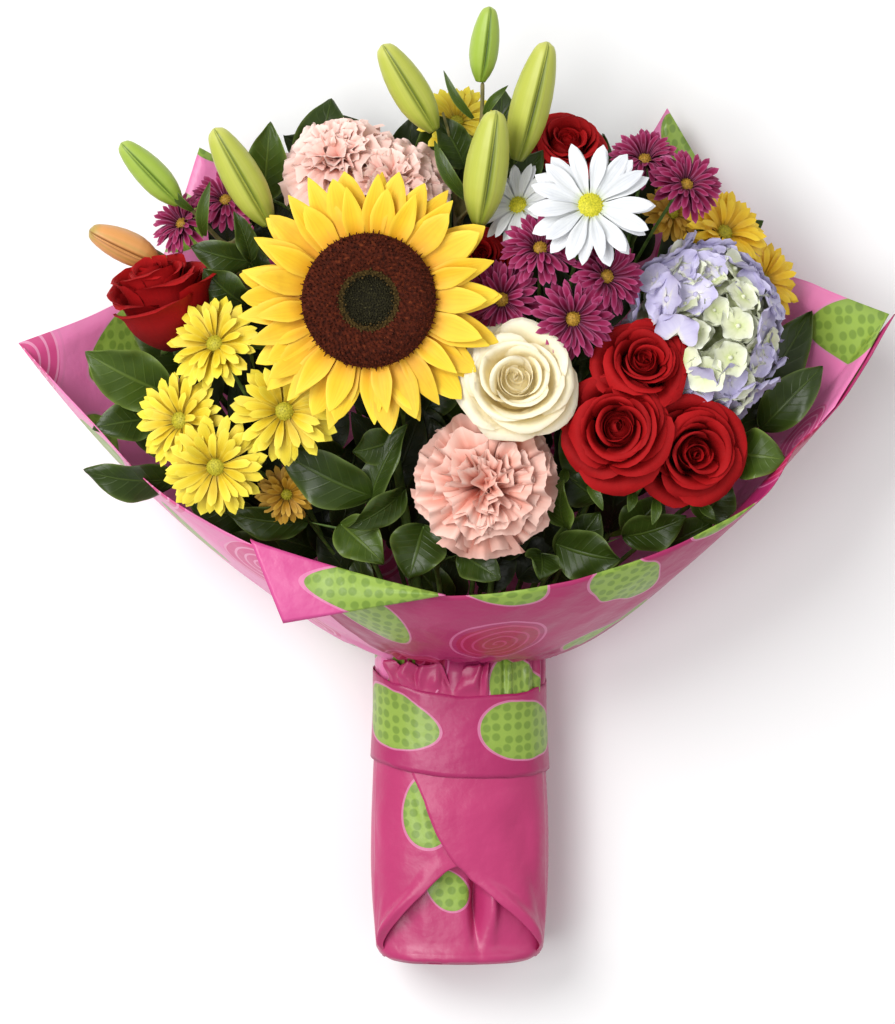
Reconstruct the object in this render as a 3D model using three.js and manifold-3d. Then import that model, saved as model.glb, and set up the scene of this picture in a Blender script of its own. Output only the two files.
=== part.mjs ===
// A mixed flower bouquet in a printed paper wrapper, lying on its back on a table.
// Millimetres. X runs to the right, Y from the folded paper foot to the flower heads, Z up.
// The origin is on the table, under the paper band that closes the neck of the wrapper.
import * as THREE from "three";
import { ConvexGeometry } from "three/addons/geometries/ConvexGeometry.js";
import { mergeVertices } from "three/addons/utils/BufferGeometryUtils.js";
import Module from "manifold-3d";

const wasm = await Module();
wasm.setup();

// Driving dimensions
const GAP = 0.35; // running clearance between two pieces that touch
const PAPER = 0.8; // thickness of a paper layer
const FOOT_Y = -145; // folded end of the sleeve
const BAND_Y = [-38, 11]; // lower and upper edge of the band
const SLEEVE_TOP_Y = -12;
const HEM_Y = SLEEVE_TOP_Y + GAP; // lower edge of the collar sheets, held under the band
const NECK_Y = 30; // where the collar sheets start to flare
const SLEEVE_HALF_WIDTH = 47.5;
const SLEEVE_HALF_DEPTH = 31;
const BAND_INSIDE = PAPER + 2 * GAP + 0.5; // clear of the collar hems that it holds
const SLEEVE_LIFT = BAND_INSIDE + PAPER; // the band's flat back lies on the table, under the sleeve's
const STEM_END_Y = -136;
const STEM_SPACING = 1.3; // aimed at between the sides of two stems
const TIE_Y = -26;
const TIE_HEIGHT = 7;
const TIE_THICKNESS = 1.4;
const TIE_CLEARANCE = 0.8;
const SEAT = 0.75; // between a calyx and the petals above it
const DISC_BASE = 4.4; // height of the sunflower disc's seat above the base of its rays

// Colours
const PINK = 0xd83a8c;
const LEAF_GREEN = 0x2f5a1e;
const STEM_GREEN = 0x5c7d35;
const RED = 0xb30d14;
const CREAM = 0xf3ecc8;
const BLUSH = 0xf3b2a4;
const YELLOW = 0xf7d51d;
const PURPLE = 0x9c1c64;
const WHITE = 0xf8f8f4;
const BRONZE = 0xc98a1c;
const LILAC = 0xb9b4e0;
const BUD_GREEN = 0xb5cc4a;
const ORANGE = 0xe59a4a;
const BROWN = 0x4a1510;
const RAFFIA = 0xc9b27a;
const PAPER_ROUGHNESS = 0.45;

const V = (x, y, z) => new THREE.Vector3(x, y, z);
const lerp = THREE.MathUtils.lerp;
const TURN = 2 * Math.PI;
const rad = THREE.MathUtils.degToRad;
const count = (n, f) => Array.from({ length: n }, (_, i) => f(i));

// A small repeatable source of variation, from 0 to 1.
function seeded(seed) {
  let state = seed;
  return () => {
    state = (state * 16807) % 2147483647;
    return state / 2147483647;
  };
}

// Solids

function solidFrom(points, triangles) {
  let volume = 0;
  for (const [a, b, c] of triangles) volume += points[a].dot(points[b].clone().cross(points[c]));
  const faces = volume < 0 ? triangles.map(([a, b, c]) => [a, c, b]) : triangles;
  const mesh = new wasm.Mesh({
    numProp: 3,
    vertProperties: new Float32Array(points.flatMap((p) => [p.x, p.y, p.z])),
    triVerts: new Uint32Array(faces.flat()),
  });
  return new wasm.Manifold(mesh);
}

function solidFromGeometry(geometry) {
  const bare = geometry.clone();
  bare.deleteAttribute("normal");
  bare.deleteAttribute("uv");
  const merged = mergeVertices(bare, 1e-3);
  const at = merged.getAttribute("position");
  const points = count(at.count, (i) => V(at.getX(i), at.getY(i), at.getZ(i)));
  const corners = [...merged.index.array];
  return solidFrom(points, count(corners.length / 3, (i) => corners.slice(3 * i, 3 * i + 3)));
}

// A closed skin through rings of points. Of two neighbouring rings, one has a multiple of the other's points.
function loft(rings, looped = false) {
  const triangles = [];
  const starts = rings.map((_, k) => rings.slice(0, k).flat().length);
  const bridge = (k, next) => {
    const [big, small] = rings[k].length >= rings[next].length ? [k, next] : [next, k];
    const sides = rings[big].length;
    const ratio = sides / rings[small].length;
    const half = Math.floor(ratio / 2);
    const opposite = (i) => starts[small] + (Math.floor((i + half) / ratio) % rings[small].length);
    for (let i = 0; i < sides; i++) {
      const [a, b] = [starts[big] + i, starts[big] + ((i + 1) % sides)];
      const [c, d] = [opposite(i), opposite(i + 1 === sides ? 0 : i + 1)];
      const faces = c === d ? [[a, b, c]] : [[a, b, c], [b, d, c]];
      triangles.push(...(big === k ? faces : faces.map((face) => face.toReversed())));
    }
  };
  for (let k = 0; k + 1 < rings.length; k++) bridge(k, k + 1);
  if (looped) bridge(rings.length - 1, 0);
  else {
    const end = starts.at(-1);
    for (let i = 1; i + 1 < rings[0].length; i++) triangles.push([0, i + 1, i]);
    for (let i = 1; i + 1 < rings.at(-1).length; i++) triangles.push([end, end + i, end + i + 1]);
  }
  return solidFrom(rings.flat(), triangles);
}

// A sheet of paper through a grid of rows, thickened evenly to both sides.
function sheet(grid, thickness) {
  const rows = grid.length;
  const columns = grid[0].length;
  const at = (r, c) => grid[Math.min(rows - 1, Math.max(0, r))][Math.min(columns - 1, Math.max(0, c))];
  const side = (r, c, sign) => {
    const along = at(r + 1, c).clone().sub(at(r - 1, c));
    const across = at(r, c + 1).clone().sub(at(r, c - 1));
    return at(r, c).clone().addScaledVector(along.cross(across).normalize(), (sign * thickness) / 2);
  };
  const skin = (sign) => count(rows * columns, (i) => side(Math.floor(i / columns), i % columns, sign));
  const points = [...skin(1), ...skin(-1)];
  const top = (r, c) => r * columns + c;
  const under = (r, c) => rows * columns + r * columns + c;
  const triangles = [];
  for (let r = 0; r + 1 < rows; r++) {
    for (let c = 0; c + 1 < columns; c++) {
      triangles.push([top(r, c), top(r, c + 1), top(r + 1, c)]);
      triangles.push([top(r, c + 1), top(r + 1, c + 1), top(r + 1, c)]);
      triangles.push([under(r, c), under(r + 1, c), under(r, c + 1)]);
      triangles.push([under(r, c + 1), under(r + 1, c), under(r + 1, c + 1)]);
    }
  }
  const wall = (a, b, c, d) => triangles.push([a, c, b], [b, c, d]);
  for (let c = 0; c + 1 < columns; c++) {
    wall(top(0, c), top(0, c + 1), under(0, c), under(0, c + 1));
    wall(top(rows - 1, c + 1), top(rows - 1, c), under(rows - 1, c + 1), under(rows - 1, c));
  }
  for (let r = 0; r + 1 < rows; r++) {
    wall(top(r + 1, 0), top(r, 0), under(r + 1, 0), under(r, 0));
    wall(top(r, columns - 1), top(r + 1, columns - 1), under(r, columns - 1), under(r + 1, columns - 1));
  }
  return solidFrom(points, triangles);
}

const union = (solids) => wasm.Manifold.union(solids);

// The solid's main body, with any scrap that a cut left loose dropped.
const bigger = (one, other) => (one.volume() > other.volume() ? one : other);
const mainBody = (solid) => solid.decompose().reduce(bigger);

// The convex envelope of a solid, grown by a margin.
function envelope(solid, margin = 0.6) {
  const { vertProperties, numProp } = solid.getMesh();
  const points = count(vertProperties.length / numProp, (i) => {
    const [x, y, z] = vertProperties.subarray(i * numProp);
    return V(x, y, z);
  });
  const box = new THREE.Box3().setFromPoints(points);
  const middle = box.getCenter(V(0, 0, 0));
  const size = box.getSize(V(0, 0, 0));
  const grow = 1 + (2 * margin) / Math.min(size.x, size.y, size.z);
  const grown = points.map((p) => p.sub(middle).multiplyScalar(grow).add(middle));
  return solidFromGeometry(new ConvexGeometry(grown));
}

// A frame whose Z axis is the way a bloom faces, turned about it by a roll angle.
function facing(at, face, roll = 0) {
  const z = V(...face).normalize();
  const x = Math.abs(z.x) < 0.9 ? V(1, 0, 0) : V(0, 1, 0);
  x.addScaledVector(z, -x.dot(z)).normalize();
  const y = z.clone().cross(x);
  return new THREE.Matrix4()
    .makeBasis(x, y, z)
    .setPosition(V(...at))
    .multiply(new THREE.Matrix4().makeRotationZ(roll));
}

const placed = (solid, matrix) => solid.transform(matrix.elements);

// Petals, in a bloom's own frame: the base of the petals is at the origin and the bloom faces +Z

const polar = (radius, angle, height) => V(radius * Math.cos(angle), radius * Math.sin(angle), height);
const circle = (n, radius, height) => count(n, (i) => polar(radius, (TURN * i) / n, height));

// Outlines of one petal from its notch on: [share across the petal, share of its reach, share of its lift]
const STRAP = [[0, 0.5, 0.6], [0.17, 0.94, 0.92], [0.83, 1, 1]];
const POINTED = [[0, 0.6, 0.8], [0.06, 0.78, 0.9], [0.5, 1, 1], [0.94, 0.78, 0.9]];
const CUPPED = [[0, 0.84, 0.8], [0.07, 1, 0.96], [0.5, 0.97, 1], [0.93, 0.89, 0.97]];
const FRILLED = [
  [0, 0.84, 0.9],
  [0.17, 1, 1.08],
  [0.34, 0.94, 0.94],
  [0.5, 1.03, 1.06],
  [0.67, 0.94, 0.95],
  [0.84, 1, 1.07],
];
const SEPAL = [[0, 0.32, 0.3], [0.35, 0.6, 0.6], [0.5, 1, 1], [0.65, 0.6, 0.6]];

// The edge of a wheel of petals. Every second petal can reach and lift differently, as a layer of its own.
function petalEdge(petals, outline, options) {
  const { reach, lift, base = 0, second = [1, 1], turn = 0, random = () => 0.5 } = options;
  return count(petals, (i) => {
    const [far, high] = i % 2 ? second : [1, 1];
    const vary = 0.95 + 0.1 * random();
    return outline.map(([share, out, up], k) => {
      const angle = ((turn + i + share) * TURN) / petals;
      const own = k > 0;
      return polar(reach * out * (own ? far * vary : 1), angle, base + lift * up * (own ? high : 1));
    });
  }).flat();
}

// A daisy or chrysanthemum of radius r: two layers of rays round a low domed eye, on a stub of stalk or bare.
function daisy(r, { petals, eye, outline = STRAP, stub = true, seed = 1 }) {
  const random = seeded(seed);
  return loft([
    ...(stub ? [circle(6, 1.3, -8)] : []),
    circle(6, 0.26 * r, -2),
    petalEdge(petals, outline, { reach: r, lift: 0.14 * r, second: [0.87, 2.3], random }),
    circle(petals, 1.2 * eye, 1.8),
    circle(petals / 2, 0.75 * eye, 3.9),
    [V(0, 0, 4.6)],
  ]);
}

// A garden rose of radius r: nested cups with scalloped rims that open outwards round a closed heart.
function rose(r, seed) {
  const random = seeded(seed);
  const rim = (reach, lift, turn) => petalEdge(5, CUPPED, { reach: reach * r, lift: lift * r, turn, random });
  return loft([
    circle(5, 0.2 * r, 0),
    circle(10, 0.6 * r, 0.12 * r),
    circle(20, 0.84 * r, 0.44 * r),
    rim(1, 0.84, 0),
    circle(5, 0.66 * r, 0.5 * r),
    rim(0.74, 1.04, 0.5),
    circle(5, 0.45 * r, 0.66 * r),
    rim(0.47, 1.18, 0.2),
    circle(5, 0.24 * r, 0.84 * r),
    rim(0.22, 1.24, 0.7),
    [V(0, 0, 0.98 * r)],
  ]);
}

// A carnation of radius r: frilled layers, each standing steeper than the one outside it.
function carnation(r, seed) {
  const random = seeded(seed);
  const rim = (petals, reach, lift, turn) =>
    petalEdge(petals, FRILLED, { reach: reach * r, lift: lift * r, turn, random });
  return loft([
    circle(6, 0.18 * r, 0),
    rim(6, 1, 0.46, 0),
    circle(12, 0.32 * r, 0.42 * r),
    rim(6, 0.86, 0.7, 0.4),
    circle(12, 0.28 * r, 0.6 * r),
    rim(6, 0.62, 0.88, 0.1),
    circle(12, 0.2 * r, 0.74 * r),
    rim(4, 0.34, 1, 0.3),
    circle(12, 0.1 * r, 0.84 * r),
    [V(0, 0, 0.9 * r)],
  ]);
}

// Sunflower rays in two layers round a plate that carries the disc.
function sunflowerRays(r, disc) {
  const random = seeded(7);
  return loft([
    circle(12, 0.6 * disc, 0),
    petalEdge(30, POINTED, { reach: r, lift: 3, second: [0.88, 2.6], random }),
    circle(20, 0.92 * disc, DISC_BASE),
  ]);
}

// A sunflower's domed disc with a sunken middle and seeds raised in crossing spirals.
function sunflowerDisc(r) {
  const sides = 24;
  const base = DISC_BASE + GAP;
  const seed = 0.9; // how far each second point stands out
  const dome = [[1, 3.6], [0.93, 6.6], [0.76, 8.2], [0.56, 7.6], [0.36, 4.8]];
  const rings = dome.map(([share, height], k) =>
    count(sides, (i) => {
      const angle = (TURN * (i + 0.5 * k)) / sides;
      return polar(share * r, angle, base + height + seed * ((i + k) % 2));
    }),
  );
  return loft([circle(12, 0.86 * r, base), ...rings, [V(0, 0, base + 3.6)]]);
}

// A cup under a head, from its seat down to the stalk, with its sepals, a narrow gap below the petals.
function calyx({ top, depth, stalkRadius, sepals, reach, droop }) {
  return loft([
    circle(sepals, stalkRadius, -depth),
    circle(sepals, 0.8 * top, -0.55 * depth),
    petalEdge(sepals, SEPAL, { reach, lift: -droop, base: -0.3 * depth, turn: -0.5 }),
    circle(sepals, top, -SEAT),
  ]);
}

// A mophead of four-petalled florets set evenly over an oval core.
function mophead([a, b, c], howMany, floret) {
  const core = solidFromGeometry(new THREE.IcosahedronGeometry(1, 1).scale(a - 6, b - 6, c - 6));
  const golden = Math.PI * (3 - Math.sqrt(5));
  const florets = count(howMany, (i) => {
    const z = 1 - (1.55 * (i + 0.5)) / howMany;
    const flat = Math.sqrt(1 - z * z);
    const out = V(flat * Math.cos(golden * i), flat * Math.sin(golden * i), z);
    const at = V(out.x * (a - 3), out.y * (b - 3), out.z * (c - 3));
    const rim = count(8, (k) => {
      const reach = k % 2 ? 0.52 * floret : floret;
      const angle = (TURN * k) / 8;
      return V(reach * Math.cos(angle), reach * Math.sin(angle), k % 2 ? 0 : 1.2);
    });
    const star = loft([[V(0, 0, -6)], rim, [V(0, 0, 0.8)]]);
    return placed(star, facing(at.toArray(), out.toArray(), 0.7 * i));
  });
  return union([core, ...florets]);
}

// A lily bud from base to tip, six-sided with three raised ribs.
function lilyBud(base, tip, radius) {
  const along = tip.clone().sub(base);
  const matrix = facing(base.toArray(), along.toArray());
  const length = along.length();
  const girth = [[0, 0.3], [0.16, 0.78], [0.42, 1], [0.7, 0.82], [0.92, 0.42]];
  const rings = girth.map(([t, w]) =>
    count(6, (i) => {
      const r = radius * w * (i % 2 ? 0.86 : 1);
      return V(r * Math.cos((TURN * i) / 6), r * Math.sin((TURN * i) / 6), length * t);
    }),
  );
  return placed(loft([...rings, [V(0, 0, length)]]), matrix);
}

// A leaf and its petiole, folded a little along its rib and arched towards its upper side. Where the leaf
// turns back on its petiole, the petiole is a solid of its own.
function leaf({ join, base, tip, up, width, arch = 0.12, fold = 0.18, thick = 1 }) {
  const along = tip.clone().sub(base);
  const length = along.length();
  const x = along.normalize();
  const z = up.clone().addScaledVector(x, -up.dot(x)).normalize();
  const y = z.clone().cross(x);
  const ring = (middle, half) => [
    middle.clone().addScaledVector(y, half).addScaledVector(z, fold * half),
    middle.clone().addScaledVector(z, -thick / 2),
    middle.clone().addScaledVector(y, -half).addScaledVector(z, fold * half),
    middle.clone().addScaledVector(z, thick / 2),
  ];
  const rows = [[0.02, 0.07], [0.27, 0.92], [0.66, 0.86]];
  const rise = (t) => 4 * arch * length * t * (1 - t);
  const rib = (t) => base.clone().addScaledVector(x, length * t).addScaledVector(z, rise(t));
  const rings = rows.map(([t, w]) => ring(rib(t), (width / 2) * w));
  const petiole = base.clone().sub(join);
  if (petiole.dot(x) > 0.6 * petiole.length()) return loft([ring(join, 0.9), ...rings, [tip]]);
  return union([loft([...rings, [tip]]), stalk([join, rib(0.08)], 1, 0.8, 4)]);
}

// A round stalk along a path of points, tapering from the first radius to the last.
function stalk(path, from, to, sides = 5) {
  const rings = path.map((p, k) => {
    const ahead = path[Math.min(path.length - 1, k + 1)].clone().sub(path[Math.max(0, k - 1)]).normalize();
    const level = V(0, 0, 1).cross(ahead);
    const u = level.lengthSq() > 0.05 ? level.normalize() : V(1, 0, 0);
    const w = ahead.clone().cross(u);
    const r = lerp(from, to, k / (path.length - 1));
    return count(sides, (i) => {
      const angle = (TURN * i) / sides;
      return p.clone().addScaledVector(u, r * Math.cos(angle)).addScaledVector(w, r * Math.sin(angle));
    });
  });
  return loft(rings);
}

// Single flowers: where the middle of each face is, which way it faces, and its radius

const FLOWERS = [
  { name: "rose_cream", kind: "rose", colour: CREAM, at: [30, 195, 158], face: [0, 0.3, 0.95], r: 33 },
  { name: "rose_red_front", kind: "rose", at: [88, 164, 154], face: [0, 0.12, 1], r: 32 },
  { name: "rose_red_upper", kind: "rose", at: [99, 209, 142], face: [0.15, 0.4, 0.9], r: 27 },
  { name: "rose_red_right", kind: "rose", at: [133, 152, 138], face: [0.3, 0, 0.95], r: 29 },
  { name: "rose_red_left", kind: "rose", at: [-164, 238, 112], face: [-0.25, 0.7, 0.6], r: 29 },
  { name: "rose_red_back", kind: "rose", at: [62, 330, 104], face: [0.1, 0.6, 0.7], r: 27 },
  { name: "rose_red_heart", kind: "rose", at: [11, 260, 122], face: [0, 0.3, 0.9], r: 16 },
  { name: "carnation_front", kind: "carnation", at: [14, 134, 160], face: [0, -0.12, 1], r: 38 },
  { name: "carnation_back_left", kind: "carnation", at: [-72, 326, 112], face: [-0.3, 0.6, 0.7], r: 32 },
  { name: "carnation_back_right", kind: "carnation", at: [-34, 312, 122], face: [0.1, 0.5, 0.8], r: 31 },
  { name: "daisy_white_front", kind: "daisy", at: [70, 289, 152], face: [0.05, 0.3, 0.95], r: 34 },
  { name: "daisy_white_back", kind: "daisy", at: [31, 288, 126], face: [-0.3, 0.45, 0.8], r: 24 },
];
const SUNFLOWER = {
  at: [-51, 238, 166],
  face: [0, 0.03, 1],
  r: 69,
  disc: 36,
  stalk: 3.6,
  cup: { top: 21, depth: 10, sepals: 12, reach: 34, droop: 3 },
};
const HYDRANGEA = {
  at: [140, 224, 112],
  face: [0.35, 0.15, 0.9],
  radii: [40, 52, 34],
  florets: 20,
  floret: 14.5,
  stalk: 2.6,
  cup: { top: 5, depth: 6, sepals: 5, reach: 8, droop: 1 },
};

// How each kind of single flower is made. The depth is that of its face above the base of its petals, as a
// share of its radius.
const KINDS = {
  rose: {
    make: rose,
    part: "petals",
    colour: RED,
    depth: 0.95,
    stalk: 2.3,
    cup: (r) => ({ top: 0.2 * r, depth: 0.32 * r, sepals: 5, reach: 0.7 * r, droop: 0.34 * r }),
  },
  carnation: {
    make: carnation,
    part: "petals",
    colour: BLUSH,
    depth: 0.75,
    stalk: 1.9,
    cup: (r) => ({ top: 0.18 * r, depth: 0.5 * r, sepals: 5, reach: 0.24 * r, droop: -0.08 * r }),
  },
  daisy: {
    make: (r, seed) => daisy(r, { petals: 18, eye: 0.25 * r, outline: STRAP, stub: false, seed }),
    part: "rays",
    colour: WHITE,
    depth: 0.12,
    stalk: 1.7,
    cup: (r) => ({ top: 0.2 * r, depth: 0.26 * r, sepals: 6, reach: 0.26 * r, droop: 0.02 * r }),
  },
};

// Sprays: several small blooms on side branches that leave one stem at the fork

const SPRAYS = [
  {
    name: "mum_purple_front",
    colour: PURPLE,
    fork: [42, 190, 82],
    blooms: [
      { at: [43, 266, 144], face: [-0.05, 0.5, 0.85], r: 22 },
      { at: [22, 237, 140], face: [-0.2, 0.05, 1], r: 22 },
      { at: [80, 250, 142], face: [0.4, 0.25, 0.85], r: 22 },
      { at: [61, 227, 150], face: [0.1, 0, 1], r: 23 },
    ],
  },
  {
    name: "mum_purple_back",
    colour: PURPLE,
    fork: [88, 235, 62],
    blooms: [
      { at: [124, 301, 116], face: [0.3, 0.45, 0.8], r: 21 },
      { at: [101, 318, 104], face: [0, 0.65, 0.7], r: 20 },
    ],
  },
  {
    name: "mum_purple_left",
    colour: PURPLE,
    fork: [-106, 210, 56],
    blooms: [
      { at: [-154, 280, 92], face: [-0.45, 0.5, 0.7], r: 19 },
      { at: [-128, 296, 92], face: [0, 0.55, 0.8], r: 19 },
    ],
  },
  {
    name: "mum_yellow_front",
    colour: YELLOW,
    fork: [-86, 120, 74],
    blooms: [
      { at: [-134, 214, 138], face: [-0.3, 0.4, 0.85], r: 26 },
      { at: [-160, 174, 132], face: [-0.5, 0.15, 0.85], r: 27 },
      { at: [-133, 146, 142], face: [-0.1, -0.1, 1], r: 28 },
      { at: [-95, 177, 148], face: [0.05, 0.05, 1], r: 29 },
    ],
  },
  {
    name: "mum_yellow_right",
    colour: YELLOW,
    fork: [112, 210, 58],
    blooms: [
      { at: [153, 278, 84], face: [0.35, 0.5, 0.75], r: 25 },
      { at: [177, 248, 74], face: [0.6, 0.3, 0.7], r: 24 },
    ],
  },
  {
    name: "mum_yellow_top",
    colour: YELLOW,
    fork: [-6, 262, 60],
    blooms: [{ at: [-4, 340, 94], face: [0, 0.5, 0.8], r: 22 }],
  },
  {
    name: "mum_bronze_back",
    colour: BRONZE,
    fork: [98, 200, 50],
    blooms: [{ at: [118, 282, 84], face: [0.2, 0.3, 0.9], r: 17 }],
  },
  {
    name: "mum_bronze_front",
    colour: BRONZE,
    fork: [-70, 90, 70],
    blooms: [{ at: [-95, 128, 116], face: [0.1, -0.2, 1], r: 17 }],
  },
];

const ORANGE_BUD = { name: "lily_orange_bud", base: [-172, 264, 96], tip: [-209, 280, 104], r: 11 };
const LILIES = [
  {
    name: "lily_top",
    spine: [[6, 215, 66], [-2, 276, 86], [12, 330, 106]],
    buds: [
      { base: [12, 354, 112], tip: [16, 398, 118], r: 8.5 },
      { base: [31, 316, 122], tip: [49, 381, 134], r: 12.5 },
      { base: [7, 286, 142], tip: [20, 343, 152], r: 12 },
      { base: [-9, 338, 126], tip: [-42, 382, 134], r: 11 },
    ],
  },
  {
    name: "lily_left",
    carries: ORANGE_BUD,
    spine: [[-98, 200, 74], [-128, 262, 92]],
    buds: [
      { base: [-153, 291, 114], tip: [-188, 325, 122], r: 9.5 },
      { base: [-104, 283, 124], tip: [-137, 334, 134], r: 12 },
    ],
  },
];

// Leafy stems: the end of the stem, then each leaf from base to tip, its upper side and its width.
const LEAFY = [
  {
    name: "salal_left",
    end: [-150, 152, 84],
    leaves: [
      [[-160, 182, 92], [-206, 206, 104], [0.2, -0.3, 1], 34],
      [[-168, 168, 90], [-202, 164, 104], [0.1, 0.3, 1], 24],
      [[-156, 136, 96], [-206, 142, 112], [0, -0.4, 1], 25],
      [[-140, 190, 70], [-186, 232, 66], [0, 0, 1], 30],
    ],
  },
  {
    name: "salal_front_left",
    end: [-58, 108, 104],
    leaves: [
      [[-48, 128, 122], [-99, 154, 122], [-0.1, -0.2, 1], 31],
      [[-50, 120, 118], [-28, 168, 124], [-0.6, 0, 0.8], 19],
      [[-30, 132, 118], [-62, 112, 132], [0.3, -0.4, 1], 19],
      [[-66, 112, 112], [-42, 92, 128], [0, 0.3, 1], 26],
      [[-84, 112, 100], [-128, 118, 112], [0, -0.3, 1], 22],
    ],
  },
  {
    name: "salal_front",
    end: [-14, 92, 108],
    leaves: [
      [[-20, 112, 120], [-28, 84, 132], [0, 0, 1], 32],
      [[0, 96, 118], [22, 84, 134], [0, 0.2, 1], 22],
    ],
  },
  {
    name: "salal_front_right",
    end: [56, 92, 100],
    leaves: [
      [[52, 102, 118], [88, 94, 126], [0, -0.3, 1], 30],
      [[58, 110, 116], [56, 138, 132], [-0.6, 0, 0.8], 20],
      [[44, 96, 116], [44, 84, 132], [0.3, 0, 1], 22],
      [[90, 104, 102], [124, 116, 116], [0, -0.3, 1], 24],
    ],
  },
  {
    name: "salal_right",
    end: [140, 128, 82],
    leaves: [
      [[148, 150, 108], [178, 148, 120], [-0.2, 0.3, 1], 29],
      [[166, 162, 92], [200, 198, 98], [-0.2, 0, 1], 25],
      [[150, 158, 84], [196, 226, 62], [0, 0, 1], 30],
    ],
  },
  {
    name: "salal_back",
    end: [-90, 284, 62],
    leaves: [
      [[-108, 288, 84], [-104, 332, 96], [0, 0, 1], 24],
      [[-20, 286, 78], [-14, 338, 84], [0.2, 0, 1], 24],
      [[-82, 296, 50], [-70, 352, 46], [0, 0, 1], 32],
    ],
  },
  {
    name: "salal_back_right",
    end: [60, 240, 46],
    leaves: [
      [[32, 292, 66], [30, 344, 78], [-0.2, 0, 1], 26],
      [[84, 262, 44], [110, 318, 44], [0, 0, 1], 32],
      [[110, 240, 40], [170, 276, 50], [0, 0, 1], 32],
      [[20, 290, 44], [24, 350, 40], [0, 0, 1], 30],
    ],
  },
];

// Rim and belly of the collar sheets, by angle round the neck: 0 is right, 90 the front, 270 the table side
const BACK_SHEET = [
  [117, [-98, 96, 133], [-52, 46, 99]],
  [128, [-135, 113, 125], [-72, 50, 93]],
  [140, [-172, 136, 115], [-95, 56, 83]],
  [152, [-208, 172, 102], [-125, 66, 69]],
  [165, [-244, 210, 90], [-150, 78, 52]],
  [180, [-200, 226, 52], [-146, 88, 28]],
  [200, [-172, 246, 28], [-118, 96, 9]],
  [215, [-147, 316, 20], [-90, 120, 2.4]],
  [232, [-95, 290, 4], [-62, 120, 0.8]],
  [250, [-46, 292, 0.5], [-36, 120, 0.5]],
  [270, [0, 298, 0.5], [0, 120, 0.5]],
  [290, [46, 300, 0.5], [36, 120, 0.5]],
  [308, [92, 304, 4], [62, 120, 0.8]],
  [325, [117, 338, 20], [86, 120, 2.4]],
  [340, [168, 258, 28], [106, 92, 10]],
  [354, [200, 240, 58], [104, 60, 30]],
  [366, [237, 226, 90], [97, 42, 48]],
];
const FRONT_SHEET = [
  [8, [240, 226, 91], [98, 38, 52]],
  [22, [210, 180, 108], [94, 36, 72]],
  [35, [185, 156, 120], [84, 35, 88]],
  [46, [166, 130, 131], [70, 34, 101]],
  [57, [127, 108, 141], [55, 34, 110]],
  [68, [88, 93, 148], [38, 35, 116]],
  [80, [44, 82, 152], [18, 36, 119]],
  [92, [-5, 77, 153], [-3, 37, 120]],
  [104, [-50, 84, 152], [-24, 38, 118]],
  [116, [-90, 96, 149], [-44, 40, 113]],
  [125, [-114, 107, 145], [-58, 42, 108]],
];
// The front sheet's corner, turned down and outwards along the rim from its left end
const TURNED_CORNER = { along: [-8, 78, 155], tip: [-96, 62, 152] };

// Wrapper

// A point of the sleeve's oval section, at a distance outside its outer face, flat where it faces the table.
function sleevePoint(degrees, y, out) {
  const c = Math.cos(rad(degrees));
  const s = Math.sin(rad(degrees));
  const bulge = 2 * Math.sin((Math.PI * Math.min(0, y)) / FOOT_Y);
  const squared = (v) => Math.sign(v) * Math.abs(v) ** 0.8;
  const middle = SLEEVE_LIFT + SLEEVE_HALF_DEPTH;
  const z = middle + (SLEEVE_HALF_DEPTH + 1.5 + out) * squared(s);
  return V((SLEEVE_HALF_WIDTH + bulge + out) * squared(c), y, Math.max(z, SLEEVE_LIFT - out));
}
const AROUND = 28;
const sleeveRing = (y, out) => count(AROUND, (i) => sleevePoint((360 * (i + 0.5)) / AROUND, y, out));

function sleeve() {
  const levels = [FOOT_Y + 5, -85, SLEEVE_TOP_Y];
  const middle = SLEEVE_LIFT + SLEEVE_HALF_DEPTH;
  const floor = FOOT_Y + 1.6;
  return loft([
    [V(0, FOOT_Y, middle)],
    sleeveRing(FOOT_Y, -4),
    ...levels.map((y) => sleeveRing(y, 0)),
    ...levels.toReversed().map((y) => sleeveRing(y, -PAPER)),
    sleeveRing(floor, -4.5),
    [V(0, floor, middle)],
  ]);
}

function band() {
  const [low, high] = BAND_Y;
  const outer = BAND_INSIDE + PAPER;
  return loft(
    [
      sleeveRing(low, outer),
      sleeveRing(high, outer),
      sleeveRing(high, BAND_INSIDE),
      sleeveRing(low, BAND_INSIDE),
    ],
    true,
  );
}

// Rows from the hem up through the neck and out along a curve over the belly to the rim.
function collarGrid(stations, out, extra = 0) {
  const neck = [HEM_Y - extra, NECK_Y];
  const shares = [0.24, 0.58, 1];
  const columns = stations.map(([degrees, rim, belly]) => {
    const start = sleevePoint(degrees, NECK_Y, out);
    const curve = new THREE.QuadraticBezierCurve3(start, V(...belly), V(...rim));
    return [...neck.map((y) => sleevePoint(degrees, y, out)), ...shares.map((t) => curve.getPoint(t))];
  });
  return count(neck.length + shares.length, (r) => columns.map((column) => column[r]));
}

// Where a station table is sparse, one more station is put halfway between two.
const halfway = (a, b) => (Array.isArray(a) ? a.map((value, k) => halfway(value, b[k])) : (a + b) / 2);
const denser = (stations, widest = 17) =>
  stations.flatMap((station, i) => {
    const next = stations[i + 1];
    return next && next[0] - station[0] > widest ? [station, halfway(station, next)] : [station];
  });

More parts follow.
